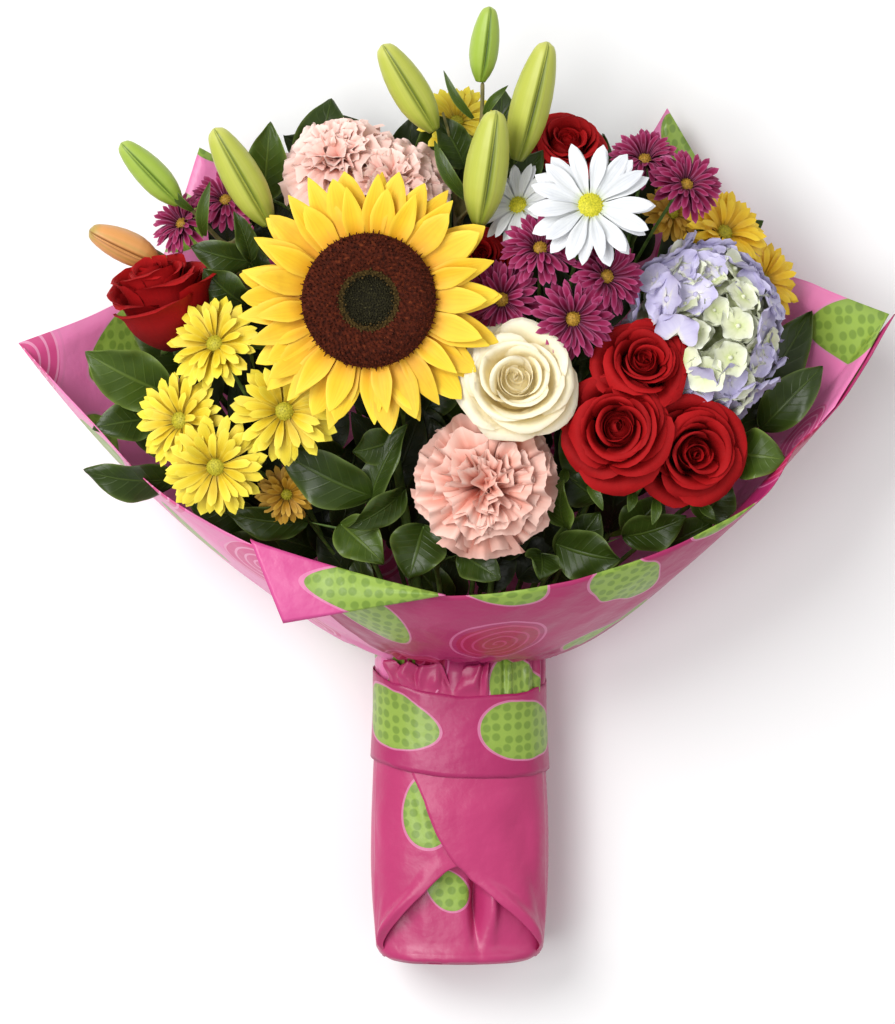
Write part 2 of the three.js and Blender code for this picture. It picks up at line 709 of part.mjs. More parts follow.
function turnedCorner() {
  const rim = V(...FRONT_SHEET.at(-1)[1]);
  const along = V(...TURNED_CORNER.along);
  const tip = V(...TURNED_CORNER.tip);
  const grid = [0, 0.5, 1].map((t) =>
    [0, 0.33, 0.67, 1].map((u) => {
      const top = rim.clone().lerp(along, u);
      const sag = 6 * u * (1 - u);
      const stand = 2.5 * Math.sin(Math.PI * t);
      return top.add(V(0, -sag, 1.2)).lerp(tip.clone().lerp(along, u), t).add(V(0, 0, stand));
    }),
  );
  return sheet(grid, PAPER);
}

// The two flaps folded in over the front of the foot. A row has its height and the angles of its two edges.
function footFlap(rows, out) {
  const grid = rows.map(([y, from, to]) => count(6, (c) => sleevePoint(lerp(from, to, c / 5), y, out)));
  return sheet(grid, PAPER);
}
const RIGHT_FLAP = [
  [-40, 111, 20],
  [-62, 108, 20],
  [-84, 100, 20],
  [-106, 78, 20],
  [-126, 54, 20],
  [-138, 34, 18],
];
const LEFT_FLAP = [
  [-62, 112, 160],
  [-84, 108, 160],
  [-100, 100, 160],
  [-112, 116, 160],
  [-126, 134, 160],
  [-138, 150, 162],
];

// Pieces in the order in which they give way: each later one is cut clear of every earlier one

const taken = [];
const bouquet = new THREE.Group();

function add(name, solid, cutters, colour, roughness = 0.6) {
  let body = solid;
  for (const cutter of taken) {
    const a = body.boundingBox();
    const b = cutter.boundingBox();
    if ([0, 1, 2].every((k) => a.min[k] < b.max[k] && b.min[k] < a.max[k])) body = body.subtract(cutter);
  }
  body = mainBody(body);
  taken.push(...cutters);
  const { vertProperties, numProp, triVerts } = body.getMesh();
  const geometry = new THREE.BufferGeometry();
  const corner = (i) => [...vertProperties.subarray(i * numProp, i * numProp + 3)];
  const flat = count(vertProperties.length / numProp, corner).flat();
  geometry.setAttribute("position", new THREE.BufferAttribute(new Float32Array(flat), 3));
  geometry.setIndex(new THREE.BufferAttribute(new Uint32Array(triVerts), 1));
  geometry.computeVertexNormals();
  const material = new THREE.MeshStandardMaterial({ color: colour, roughness, metalness: 0 });
  const mesh = new THREE.Mesh(geometry, material);
  mesh.name = name;
  bouquet.add(mesh);
}

function addWrapper() {
  const paper = (name, solid, cutters = []) => add(name, solid, cutters, PINK, PAPER_ROUGHNESS);
  const grown = (stations, out) => sheet(collarGrid(stations, out, 1), PAPER + 2 * GAP);
  const backStations = denser(BACK_SHEET);
  const backOut = -PAPER / 2;
  const frontOut = PAPER / 2 + GAP;
  paper("wrap_sleeve", sleeve());
  paper("wrap_back_sheet", sheet(collarGrid(backStations, backOut), PAPER), [grown(backStations, backOut)]);
  const front = union([sheet(collarGrid(FRONT_SHEET, frontOut), PAPER), turnedCorner()]);
  paper("wrap_front_sheet", front, [grown(FRONT_SHEET, frontOut)]);
  paper("wrap_band", band());
  paper("wrap_foot_flap_left", footFlap(LEFT_FLAP, 2 * GAP + PAPER / 2));
  paper("wrap_foot_flap_right", footFlap(RIGHT_FLAP, 2 * GAP + PAPER / 2));
}

const back = (at, face, distance) => V(...at).addScaledVector(V(...face).normalize(), -distance).toArray();
const baseOf = ({ at, face, r, kind }) => back(at, face, KINDS[kind].depth * r);
const sunflowerBase = back(SUNFLOWER.at, SUNFLOWER.face, 7);
const hydrangeaBase = back(HYDRANGEA.at, HYDRANGEA.face, HYDRANGEA.radii[2] - 5);

function addHeads() {
  const sun = facing(sunflowerBase, SUNFLOWER.face);
  const disc = placed(sunflowerDisc(SUNFLOWER.disc), sun);
  add("sunflower_disc", disc, [], BROWN, 0.95);
  const rays = placed(sunflowerRays(SUNFLOWER.r, SUNFLOWER.disc), sun);
  add("sunflower_rays", rays, [envelope(union([rays, disc]))], YELLOW);
  FLOWERS.forEach((flower, i) => {
    const { make, part, colour } = KINDS[flower.kind];
    const head = placed(make(flower.r, 11 + i), facing(baseOf(flower), flower.face, 0.7 * i));
    add(`${flower.name}_${part}`, head, [envelope(head)], flower.colour ?? colour);
  });
  const { at, face, radii, florets: howMany, floret } = HYDRANGEA;
  const florets = placed(mophead(radii, howMany, floret), facing(at, face));
  add("hydrangea_florets", florets, [envelope(florets)], LILAC, 0.7);
}

// Stems: paths from the cut end through the tie to each head, eased apart until none touches another

function route(start, startWay, end, endWay, steps) {
  const reach = 0.9 * start.distanceTo(end);
  const curve = new THREE.CubicBezierCurve3(
    start,
    start.clone().addScaledVector(startWay, reach / 3),
    end.clone().addScaledVector(endWay, -Math.min(45, reach / 3)),
    end,
  );
  return count(steps + 1, (k) => curve.getPoint(k / steps));
}

// Slots at the tie follow the direction in which each stem leaves, and are pushed apart until the stems fit.
function tieSlots(stems) {
  const spread = 26;
  const slots = stems.map(({ trunk: p, r }) => {
    const away = p.y - TIE_Y;
    return { x: (spread * p.x) / away, z: (spread * (p.z - 62)) / away, r };
  });
  for (let pass = 0; pass < 500; pass++) {
    for (const slot of slots) {
      slot.x *= 0.992;
      slot.z *= 0.985;
    }
    for (const [i, a] of slots.entries()) {
      for (const b of slots.slice(i + 1)) {
        const away = new THREE.Vector2(b.x - a.x, b.z - a.z);
        const short = 0.93 * (a.r + b.r) + 0.5 - away.length();
        if (short <= 0) continue;
        away.setLength(short / 2);
        a.x -= away.x;
        a.z -= away.y;
        b.x += away.x;
        b.z += away.y;
      }
    }
  }
  return slots;
}

// Closest points of two segments, as shares along each.
function closest(p, q, r, s) {
  const d1 = q.clone().sub(p);
  const d2 = s.clone().sub(r);
  const w = p.clone().sub(r);
  const a = d1.dot(d1);
  const b = d1.dot(d2);
  const c = d2.dot(d2);
  const d = d1.dot(w);
  const e = d2.dot(w);
  const clamp = (v) => Math.min(1, Math.max(0, v));
  const det = a * c - b * b;
  let t = det > 1e-9 ? clamp((b * e - c * d) / det) : 0;
  const u = clamp((b * t + e) / c);
  t = clamp((b * u - d) / a);
  return [t, u];
}

// Ovals that stems of other heads stay out of.
const keepOut = [];
function pushFromOvals(point, path) {
  for (const oval of keepOut) {
    if (path.own === oval.name) continue;
    const local = point.clone().applyMatrix4(oval.inverse);
    const margin = path.r + 1.5;
    const [a, b, c] = oval.radii.map((radius) => radius + margin);
    const share = Math.hypot(local.x / a, local.y / b, local.z / c);
    if (share >= 1 || share < 1e-6) continue;
    local.multiplyScalar(lerp(1, 1 / share, 0.5));
    point.copy(local.applyMatrix4(oval.matrix));
  }
}

// Stems stay inside the sleeve and the neck of the collar, and above the back sheet.
function keepInNeck(p, r) {
  p.z = Math.max(p.z, SLEEVE_LIFT + PAPER + r + 1);
  const middle = SLEEVE_LIFT + SLEEVE_HALF_DEPTH;
  const open = Math.max(0, p.y - NECK_Y) * 0.8;
  const halfWidth = SLEEVE_HALF_WIDTH - 7 - r + open;
  const halfDepth = SLEEVE_HALF_DEPTH - 4 - r + open;
  const across = Math.hypot(p.x / halfWidth, (p.z - middle) / halfDepth);
  if (across <= 1 || p.y > NECK_Y + 50) return;
  p.x /= across;
  p.z = middle + (p.z - middle) / across;
}

function easeApart(paths) {
  for (let pass = 0; pass < 260; pass++) {
    const smooth = pass < 200 ? 0.22 : 0.04;
    for (const path of paths) {
      for (let k = path.free[0]; k <= path.free[1]; k++) {
        const p = path.points[k];
        const middle = path.points[k - 1].clone().add(path.points[k + 1]).multiplyScalar(0.5);
        p.lerp(middle, smooth);
        pushFromOvals(p, path);
        keepInNeck(p, path.r);
      }
    }
    for (const [i, path] of paths.entries()) {
      for (const other of paths.slice(i + 1)) {
        if (path.own !== other.own) part(path, other);
      }
    }
  }
}

function part(one, other) {
  for (let m = 0; m + 1 < one.points.length; m++) {
    const [p, q] = [one.points[m], one.points[m + 1]];
    for (let n = 0; n + 1 < other.points.length; n++) {
      const [r, s] = [other.points[n], other.points[n + 1]];
      const wanted = one.r + other.r + STEM_SPACING;
      if (Math.min(r.y, s.y) - Math.max(p.y, q.y) > wanted) continue;
      if (Math.min(p.y, q.y) - Math.max(r.y, s.y) > wanted) continue;
      const [t, u] = closest(p, q, r, s);
      const away = p.clone().lerp(q, t).sub(r.clone().lerp(s, u));
      const distance = away.length() || 1e-3;
      if (distance >= wanted) continue;
      const push = away.multiplyScalar((wanted - distance) / distance / 2);
      const move = (path, k, share, sign) => {
        const free = k >= path.free[0] && k <= path.free[1];
        if (free) path.points[k].addScaledVector(push, sign * (0.4 + share));
      };
      move(one, m, 1 - t, 0.5);
      move(one, m + 1, t, 0.5);
      move(other, n, 1 - u, -0.5);
      move(other, n + 1, u, -0.5);
    }
  }
}

// The list of stems: a trunk from the cut end to a fork or a head, and branches from the fork to heads.
function stemPlan() {
  const plan = [];
  const single = (name, base, face, r, cup) => {
    const way = V(...face).normalize();
    const trunk = V(...base).addScaledVector(way, 1 - cup.depth);
    const heads = [placed(calyx({ ...cup, stalkRadius: 1.1 * r }), facing(base, face))];
    plan.push({ name: `${name}_stem`, r, trunk, way, owner: name, heads });
  };
  single("sunflower", sunflowerBase, SUNFLOWER.face, SUNFLOWER.stalk, SUNFLOWER.cup);
  single("hydrangea", hydrangeaBase, HYDRANGEA.face, HYDRANGEA.stalk, HYDRANGEA.cup);
  for (const flower of FLOWERS) {
    const { stalk: r, cup } = KINDS[flower.kind];
    single(flower.name, baseOf(flower), flower.face, r, cup(flower.r));
  }
  SPRAYS.forEach(({ name, colour, fork, blooms }, k) => {
    const branches = blooms.map(({ at, face }) => {
      const way = V(...face).normalize();
      return { to: V(...back(at, face, 11)), way };
    });
    const heads = blooms.map(({ at, face, r }, i) => {
      const shape = daisy(r, { petals: r > 24 ? 14 : 12, eye: 0.23 * r, seed: 51 + 7 * i + 31 * k });
      return placed(shape, facing(back(at, face, 4), face, 0.5 * i));
    });
    const way = V(...fork).sub(V(0, 0, 20)).normalize();
    plan.push({ name, r: 2, trunk: V(...fork), way, branches, owner: name, heads, colour });
  });
  for (const { name, spine, buds, carries } of LILIES) {
    const points = spine.map((p) => V(...p));
    const branch = ({ base, tip }, sunk) => {
      const way = V(...tip).sub(V(...base)).normalize();
      return { to: V(...base).addScaledVector(way, sunk), way };
    };
    const branches = buds.map((bud) => branch(bud, 3));
    if (carries) branches.push(branch(carries, -GAP));
    const heads = buds.map(({ base, tip, r }) => lilyBud(V(...base), V(...tip), r));
    const way = points[1].clone().sub(points[0]).normalize();
    const colour = BUD_GREEN;
    plan.push({ name, r: 2.4, trunk: points[0], way, spine: points, branches, owner: name, heads, colour });
  }
  for (const { name, end, leaves } of LEAFY) {
    const way = V(end[0], end[1], end[2] + 60).normalize();
    plan.push({ name, r: 1.8, trunk: V(...end), way, owner: name, heads: [], leaves, colour: LEAF_GREEN });
  }
  return plan;
}

function oval(name, at, face, ...radii) {
  const matrix = facing(at, face);
  keepOut.push({ name, matrix, inverse: matrix.clone().invert(), radii });
}

function layOutStems() {
  oval("sunflower", SUNFLOWER.at, SUNFLOWER.face, 70, 70, 15);
  for (const { name, kind, at, face, r } of FLOWERS) {
    if (kind === "daisy") oval(name, at, face, r, r, 11);
    else oval(name, back(at, face, 0.35 * r), face, r, r, 0.9 * r);
  }
  oval("hydrangea", HYDRANGEA.at, HYDRANGEA.face, ...HYDRANGEA.radii.map((v) => v + 3));
  for (const { name, blooms } of SPRAYS) {
    for (const { at, face, r } of blooms) oval(name, at, face, r, r, 11);
  }
  for (const { name, buds, carries = [] } of LILIES) {
    for (const { base, tip, r } of buds.concat(carries)) {
      const [from, to] = [V(...base), V(...tip)];
      const middle = from.clone().lerp(to, 0.5).toArray();
      oval(name, middle, to.clone().sub(from).toArray(), r + 2, r + 2, from.distanceTo(to) / 2 + 3);
    }
  }
  const plan = stemPlan();
  const slots = tieSlots(plan);
  const lowest = Math.max(...slots.map(({ z, r }) => r - z));
  const bundleZ = SLEEVE_LIFT + PAPER + GAP + TIE_THICKNESS + TIE_CLEARANCE + lowest;
  const steps = 6;
  const paths = plan.flatMap((stem, i) => {
    const own = stem.owner;
    const slot = V(slots[i].x, TIE_Y, bundleZ + slots[i].z);
    const foot = V(slots[i].x * 1.2, STEM_END_Y, bundleZ + slots[i].z);
    const spine = stem.spine ? stem.spine.slice(1) : [];
    const rise = route(slot, V(0, 1, 0), stem.trunk, stem.way, steps);
    const points = [foot, ...rise, ...spine];
    stem.path = { own, r: stem.r, points, free: [2, stem.branches ? steps : steps - 1] };
    stem.sub = (stem.branches ?? []).map(({ to, way }) => {
      const join = stem.spine ? nearest(stem.spine, to) : stem.trunk;
      const points = route(join.clone(), to.clone().sub(join).normalize(), to, way, 3);
      return { own, r: 0.62 * stem.r, points, free: [1, 2] };
    });
    return [stem.path, ...stem.sub];
  });
  easeApart(paths);
  return plan;
}

// The nearest to a place of those points that are at least a given distance below it, or else of all.
function nearest(points, to, below = 12) {
  const lower = points.filter((p) => p.y <= to.y - below);
  const choice = lower.length ? lower : points;
  return choice.reduce((best, p) => (p.distanceTo(to) < best.distanceTo(to) ? p : best));
}

// Places on the upper half of a stem where a leaf can grow, the last one a little below its end.
function joints(points) {
  const last = points.at(-1).clone().lerp(points.at(-2), 0.12);
  return [...points.slice(4, -1), last];
}

function addStems(plan) {
  for (const stem of plan) {
    const tubes = [stem.path, ...stem.sub];
    const grown = tubes.map(({ points, r }) => stalk(points, r + GAP, 0.9 * r + GAP));
    const leaves = (stem.leaves ?? []).map(([base, tip, up, width]) => {
      const from = V(...base);
      const join = nearest(joints(stem.path.points), from, 0);
      return leaf({ join, base: from, tip: V(...tip), up: V(...up), width });
    });
    const stalks = tubes.map(({ points, r }) => stalk(points, r, 0.9 * r));
    const solid = union([...stalks, ...stem.heads, ...leaves]);
    add(stem.name, solid, [...grown, ...stem.heads.map((head) => envelope(head))], stem.colour ?? STEM_GREEN);
  }
  const { name, base, tip, r } = ORANGE_BUD;
  add(name, lilyBud(V(...base), V(...tip), r), [], ORANGE);
}

// A raffia ring round the bundle, each of its sides drawn against the outermost stem.
function addTie(plan) {
  const outline = plan.map(({ path }) => {
    const p = path.points[1];
    return { x: p.x, z: p.z, r: path.r };
  });
  const sides = 16;
  const step = TURN / sides;
  const reach = (angle, out) => {
    const [c, s] = [Math.cos(angle), Math.sin(angle)];
    return out + Math.max(...outline.map(({ x, z, r }) => x * c + z * s + r));
  };
  const ring = (y, out) =>
    count(sides, (i) => {
      const [a, b] = [step * i, step * (i + 1)];
      const [here, next] = [reach(a, out), reach(b, out)];
      const x = (here * Math.sin(b) - next * Math.sin(a)) / Math.sin(step);
      const z = (next * Math.cos(a) - here * Math.cos(b)) / Math.sin(step);
      return V(x, y, z);
    });
  const low = TIE_Y - TIE_HEIGHT / 2;
  const high = TIE_Y + TIE_HEIGHT / 2;
  const outer = TIE_CLEARANCE + TIE_THICKNESS;
  const rings = [ring(low, outer), ring(high, outer), ring(high, TIE_CLEARANCE), ring(low, TIE_CLEARANCE)];
  add("stem_tie", loft(rings, true), [], RAFFIA, 0.9);
}

addWrapper();
addHeads();
const plan = layOutStems();
addStems(plan);
addTie(plan);

export default bouquet;
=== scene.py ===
# A mixed flower bouquet in its printed paper wrapper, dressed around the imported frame.
# Tables and profiles are in millimetres and go through mm(); every finished mesh is in metres.
import math
import random

import bpy
import bmesh
import numpy as np
from mathutils import Matrix, Vector, noise


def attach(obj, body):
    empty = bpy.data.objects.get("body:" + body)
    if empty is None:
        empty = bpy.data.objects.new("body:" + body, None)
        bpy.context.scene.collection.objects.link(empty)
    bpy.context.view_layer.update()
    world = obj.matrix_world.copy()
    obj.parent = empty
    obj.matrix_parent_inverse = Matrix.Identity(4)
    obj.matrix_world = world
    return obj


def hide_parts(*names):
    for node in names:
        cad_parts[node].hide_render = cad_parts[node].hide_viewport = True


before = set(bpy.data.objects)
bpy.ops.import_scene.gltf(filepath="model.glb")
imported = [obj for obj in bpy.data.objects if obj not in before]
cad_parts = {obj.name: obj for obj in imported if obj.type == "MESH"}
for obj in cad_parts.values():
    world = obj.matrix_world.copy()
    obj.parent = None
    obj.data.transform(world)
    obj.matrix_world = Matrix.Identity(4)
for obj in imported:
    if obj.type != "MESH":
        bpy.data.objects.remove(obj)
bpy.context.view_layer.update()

TURN = 2 * math.pi
GOLDEN = math.pi * (3 - math.sqrt(5))
MM = 0.001

# Small tools


def mm(*values):
    return Vector(values) * MM


def mix(a, b, t):
    return a + (b - a) * t


def smooth(t):
    """A soft step from 0 to 1."""
    t = min(1.0, max(0.0, t))
    return t * t * (3 - 2 * t)


def bell(x, width):
    return math.exp(-((x / width) ** 2))


def facing(at, face, roll=0.0):
    """A frame at a place in mm, its Z axis along face, turned about it by roll."""
    z = Vector(face).normalized()
    x = Vector((1, 0, 0)) if abs(z.x) < 0.9 else Vector((0, 1, 0))
    x = (x - z * x.dot(z)).normalized()
    y = z.cross(x)
    turned = Matrix((x, y, z)).transposed().to_4x4()
    return Matrix.Translation(mm(*at)) @ turned @ Matrix.Rotation(roll, 4, "Z")


def back(at, face, distance):
    """The place that lies a distance behind another, seen along the way it faces."""
    return tuple(Vector(at) - Vector(face).normalized() * distance)


def curve_at(points, t):
    """A smooth curve through a list of points, read at t from 0 to 1."""
    last = len(points) - 1
    s = min(max(t, 0.0), 1.0) * last
    k = min(int(s), last - 1)
    f = s - k
    p = [Vector(points[min(last, max(0, k + d))]) for d in (-1, 0, 1, 2)]
    return 0.5 * (
        2 * p[1]
        + (p[2] - p[0]) * f
        + (2 * p[0] - 5 * p[1] + 4 * p[2] - p[3]) * f * f
        + (3 * p[1] - p[0] - 3 * p[2] + p[3]) * f * f * f
    )


def profile_at(rows, t):
    """The second value of a table of pairs, read smoothly at a first value."""
    return float(np.interp(t, [row[0] for row in rows], [row[1] for row in rows]))


def wobble(x, y, seed, scale=1.0):
    """Soft repeatable noise from -1 to 1."""
    return noise.noise(Vector((x * scale, y * scale, 7.3 * seed)))


def mesh_object(name, points, faces, uvs=None):
    """A mesh object of points in metres. uvs holds one pair for each point."""
    mesh = bpy.data.meshes.new(name)
    mesh.from_pydata([tuple(p) for p in points], [], faces)
    layer = mesh.uv_layers.new(name="UVMap")
    if uvs is not None:
        corners = np.empty(len(mesh.loops), int)
        mesh.loops.foreach_get("vertex_index", corners)
        layer.data.foreach_set("uv", np.array(uvs, float)[corners].ravel())
    mesh.shade_smooth()
    obj = bpy.data.objects.new(name, mesh)
    bpy.context.scene.collection.objects.link(obj)
    return obj


def join(name, objects):
    """One mesh object out of several."""
    first = objects[0]
    chosen = dict(
        active_object=first, object=first, selected_editable_objects=objects, selected_objects=objects
    )
    if len(objects) > 1:
        with bpy.context.temp_override(**chosen):
            bpy.ops.object.join()
    first.name = name
    first.data.name = name
    return first


def flattened(obj):
    """The object with its modifiers made part of a plain mesh."""
    graph = bpy.context.evaluated_depsgraph_get()
    shown = obj.evaluated_get(graph)
    mesh = bpy.data.meshes.new_from_object(shown, preserve_all_data_layers=True, depsgraph=graph)
    obj.modifiers.clear()
    old = obj.data
    obj.data = mesh
    bpy.data.meshes.remove(old)
    return obj


def modified(obj, kind, **settings):
    """The object with one modifier made part of its mesh."""
    modifier = obj.modifiers.new(kind.title(), kind)
    for key, value in settings.items():
        setattr(modifier, key, value)
    return flattened(obj)


def painted(obj, material):
    obj.data.materials.clear()
    obj.data.materials.append(material)
    return obj


def set_in(obj, place, material):
    """Moves a part that is drawn about the origin to its place and gives it its material."""
    obj.data.transform(place)
    return painted(obj, material)


def finish_piece(obj, nodes, slot):
    """Gives a piece its body, and lets it stand for its CAD nodes. Its slot is not used."""
    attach(obj, "root")
    if nodes:
        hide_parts(*nodes)


def thin_blade(name, rows, columns, surface, thickness):
    """A closed petal or leaf: two skins a little apart that meet at the rim.

    surface(across, along) gives a point in mm, across from -1 to 1 and along from 0 to 1.
    """
    grid = [
        [Vector(surface(mix(-1, 1, c / (columns - 1)), r / (rows - 1))) for c in range(columns)]
        for r in range(rows)
    ]
    points, uvs, faces = [], [], []
    index = {}
    on_rim = set()
    for side in (1, -1):
        for r in range(rows):
            for c in range(columns):
                rim = r in (0, rows - 1) or c in (0, columns - 1)
                if rim and side == -1:
                    index[side, r, c] = index[1, r, c]
                    continue
                along = grid[min(r + 1, rows - 1)][c] - grid[max(r - 1, 0)][c]
                across = grid[r][min(c + 1, columns - 1)] - grid[r][max(c - 1, 0)]
                normal = along.cross(across)
                normal = normal.normalized() if normal.length > 1e-9 else Vector((0, 0, 1))
                shift = 0 if rim else -side * thickness / 2
                index[side, r, c] = len(points)
                if rim:
                    on_rim.add(len(points))
                points.append((grid[r][c] + normal * shift) * MM)
                uvs.append((c / (columns - 1), r / (rows - 1)))
    for r in range(rows - 1):
        for c in range(columns - 1):
            top = ((r + 1, c), (r + 1, c + 1), (r, c + 1), (r, c))
            under = ((r, c + 1), (r + 1, c + 1), (r + 1, c), (r, c))
            faces.append([index[1, i, j] for i, j in top])
            faces.append([index[-1, i, j] for i, j in under])
    blade = mesh_object(name, points, faces, uvs)
    for edge in blade.data.edges:
        edge.use_edge_sharp = on_rim.issuperset(edge.vertices)
    return blade


def lathe(name, profile, sides=32, wave=None):
    """A closed body of rings about Z. profile rows are (radius, height) in mm."""
    points, uvs, faces = [], [], []
    last = len(profile) - 1
    for k, (radius, height) in enumerate(profile):
        for i in range(sides):
            angle = TURN * i / sides
            r = radius * (wave(angle, k / last) if wave else 1)
            points.append(mm(r * math.cos(angle), r * math.sin(angle), height))
            uvs.append((i / sides, k / last))
    for k in range(last):
        for i in range(sides):
            j = (i + 1) % sides
            faces.append((k * sides + i, k * sides + j, (k + 1) * sides + j, (k + 1) * sides + i))
    faces.append(tuple(range(sides))[::-1])
    faces.append(tuple(last * sides + i for i in range(sides)))
    return mesh_object(name, points, faces, uvs)


# Node trees: values that can be reckoned with like numbers


class Value:
    """A socket of a node tree. A sum with it adds the node that reckons it."""

    def __init__(self, tree, socket):
        self.tree = tree
        self.socket = socket

    def __add__(self, other):
        return maths("ADD", self, other)

    def __sub__(self, other):
        return maths("SUBTRACT", self, other)

    def __rsub__(self, other):
        return maths("SUBTRACT", other, self)

    def __mul__(self, other):
        return maths("MULTIPLY", self, other)

    def __truediv__(self, other):
        return maths("DIVIDE", self, other)

    def __pow__(self, other):
        return maths("POWER", self, other)

    def __abs__(self):
        return maths("ABSOLUTE", self)

    def __lt__(self, other):
        return maths("LESS_THAN", self, other)


def add(tree, kind, links=None, **settings):
    """Adds a node with its settings and links. links maps an input's name or number to its value."""
    made = tree.nodes.new(kind)
    for key, value in settings.items():
        setattr(made, key, value)
    for key, value in (links or {}).items():
        if isinstance(value, Value):
            tree.links.new(value.socket, made.inputs[key])
        else:
            made.inputs[key].default_value = value
    return made


def value_of(tree, kind, links=None, output=0, **settings):
    return Value(tree, add(tree, kind, links, **settings).outputs[output])


def maths(operation, *values):
    tree = next(value.tree for value in values if isinstance(value, Value))
    return value_of(tree, "ShaderNodeMath", dict(enumerate(values)), operation=operation)


def vectors(operation, links, output=0):
    return value_of(links[0].tree, "ShaderNodeVectorMath", links, output, operation=operation)


def combined(tree, x=0.0, y=0.0, z=0.0):
    return value_of(tree, "ShaderNodeCombineXYZ", {0: x, 1: y, 2: z})


def parts_of(vector):
    made = add(vector.tree, "ShaderNodeSeparateXYZ", {0: vector})
    return [Value(vector.tree, socket) for socket in made.outputs]


def ranged(value, low, high, at_low, at_high):
    return value_of(value.tree, "ShaderNodeMapRange", {0: value, 1: low, 2: high, 3: at_low, 4: at_high})


def noise_of(vector, scale, detail, **more):
    links = {"Vector": vector, "Scale": scale, "Detail": detail, **more}
    return value_of(vector.tree, "ShaderNodeTexNoise", links)


def spun(vector, angle):
    links = {"Vector": vector, "Angle": angle}
    return value_of(vector.tree, "ShaderNodeVectorRotate", links, rotation_type="Z_AXIS")


# Materials


def colour(code):
    """An sRGB hex code as linear red, green, blue and alpha."""
    parts = [int(code[i : i + 2], 16) / 255 for i in (1, 3, 5)]
    return tuple(c / 12.92 if c <= 0.04045 else ((c + 0.055) / 1.055) ** 2.4 for c in parts) + (1.0,)


def ramp(factor, stops, smoothness="LINEAR"):
    """A colour ramp of (place, hex colour) stops."""
    made = add(factor.tree, "ShaderNodeValToRGB", {0: factor})
    made.color_ramp.interpolation = smoothness
    elements = made.color_ramp.elements
    while len(elements) < len(stops):
        elements.new(0.5)
    for element, (place, code) in zip(elements, stops):
        element.position = place
        element.color = colour(code)
    return Value(factor.tree, made.outputs[0])


def blended(factor, a, b):
    """Two colours mixed; a and b are colours of the tree or hex codes."""
    a, b = (colour(c) if isinstance(c, str) else c for c in (a, b))
    return value_of(factor.tree, "ShaderNodeMix", {0: factor, 6: a, 7: b}, 2, data_type="RGBA")


def new_material(name, roughness, ior=1.45, **fixed):
    """A material, its tree and its shader, whose constant values sit on the shader's own sockets."""
    made = bpy.data.materials.new(name)
    made.use_nodes = True
    shader = made.node_tree.nodes["Principled BSDF"]
    shader.inputs["Roughness"].default_value = roughness
    shader.inputs["IOR"].default_value = ior
    for key, value in fixed.items():
        shader.inputs[key.replace("_", " ")].default_value = value
    return made, made.node_tree, shader


def dressed(made, shader, shown, height=None, distance_mm=0.0, strength=0.0):
    """The material with its colour and, from a height, its bump."""
    links = shown.tree.links
    links.new(shown.socket, shader.inputs["Base Color"])
    if height is not None:
        relief = {"Height": height, "Distance": distance_mm * MM, "Strength": strength}
        links.new(add(shown.tree, "ShaderNodeBump", relief).outputs[0], shader.inputs["Normal"])
    return made


def uv_parts(tree):
    """Across, from 0 to 1, how far from the middle line, and up."""
    across, up, _ = parts_of(value_of(tree, "ShaderNodeUVMap", uv_map="UVMap"))
    return across, abs(across * 2.0 - 1.0), up


def object_place(tree):
    return value_of(tree, "ShaderNodeTexCoord", output="Object")


def petal_material(
    name, along, edge, streak, streaks=26.0, veins=0.35, rim=0.3, shade="#000000", roughness=0.55, **fixed
):
    """A living petal: soft, slightly waxy skin with fine lengthwise veins, paler or darker towards its rim.

    along is the ramp from the petal's foot to its tip. shade darkens some petals in soft patches.
    """
    made, tree, shader = new_material(name, roughness, **fixed)
    across, side, up = uv_parts(tree)
    near_rim = maths("MAXIMUM", side ** 3.0, up ** 9.0)
    vein = noise_of(combined(tree, across * streaks, up), 1.0, 2.0)
    veined = maths("SMOOTH_MAX", vein - 0.42, 0.0, 0.05)
    streaked = blended(maths("MINIMUM", veined * (veins * 4), 1.0), ramp(up, along, "EASE"), streak)
    tone = value_of(tree, "ShaderNodeAttribute", output="Fac", attribute_name="tone")
    cloud = noise_of(object_place(tree), 140.0, 3.0)
    toned = blended(cloud * tone * 0.55, blended(near_rim * rim, streaked, edge), shade)
    return dressed(made, shader, toned, vein, 0.25, 0.5)


# Side veins of a leaf: how many, and how far they sweep towards its tip
SIDE_VEINS, VEIN_SWEEP = 8.5, 1.9


def leaf_material(name, blade, rib, rim, dark, roughness):
    """A leathery evergreen leaf: waxy cuticle, a paler midrib and side veins that curve towards the tip."""
    made, tree, shader = new_material(name, roughness, Coat_Weight=0.04, Specular_IOR_Level=0.34)
    _, side, up = uv_parts(tree)
    midrib = ranged(side, 0.02, 0.075, 1.0, 0.0)
    tooth = abs(maths("FRACT", up * SIDE_VEINS - side * VEIN_SWEEP) - 0.5)
    side_vein = ranged(tooth, 0.02, 0.1, 1.0, 0.0) * (1.0 - side * 0.8)
    vein = maths("MAXIMUM", midrib, side_vein * 0.45)
    cells = noise_of(object_place(tree), 900.0, 2.0)
    body = blended(noise_of(object_place(tree), 70.0, 4.0) * 0.9, blade, dark)
    # The paler rim colour is a painted highlight: the leaf's edge catching the light
    veined = blended(vein * 0.32, blended(side ** 12.0 * 0.85, body, rim), rib)
    return dressed(made, shader, veined, cells * 0.12 - vein, 0.5, 0.7)


def grain_material(name, stops, scale_mm, roughness=0.6, depth_mm=0.3, stretch=(1, 1, 1), **fixed):
    """A grown skin whose colour drifts at one grain size: stalks, seed heads and raffia."""
    made, tree, shader = new_material(name, roughness, **fixed)
    placed = value_of(tree, "ShaderNodeMapping", {"Vector": object_place(tree), "Scale": stretch})
    grain = noise_of(placed, 1 / (scale_mm * MM), 4.0)
    return dressed(made, shader, ramp(grain, stops), grain, depth_mm, 0.8)


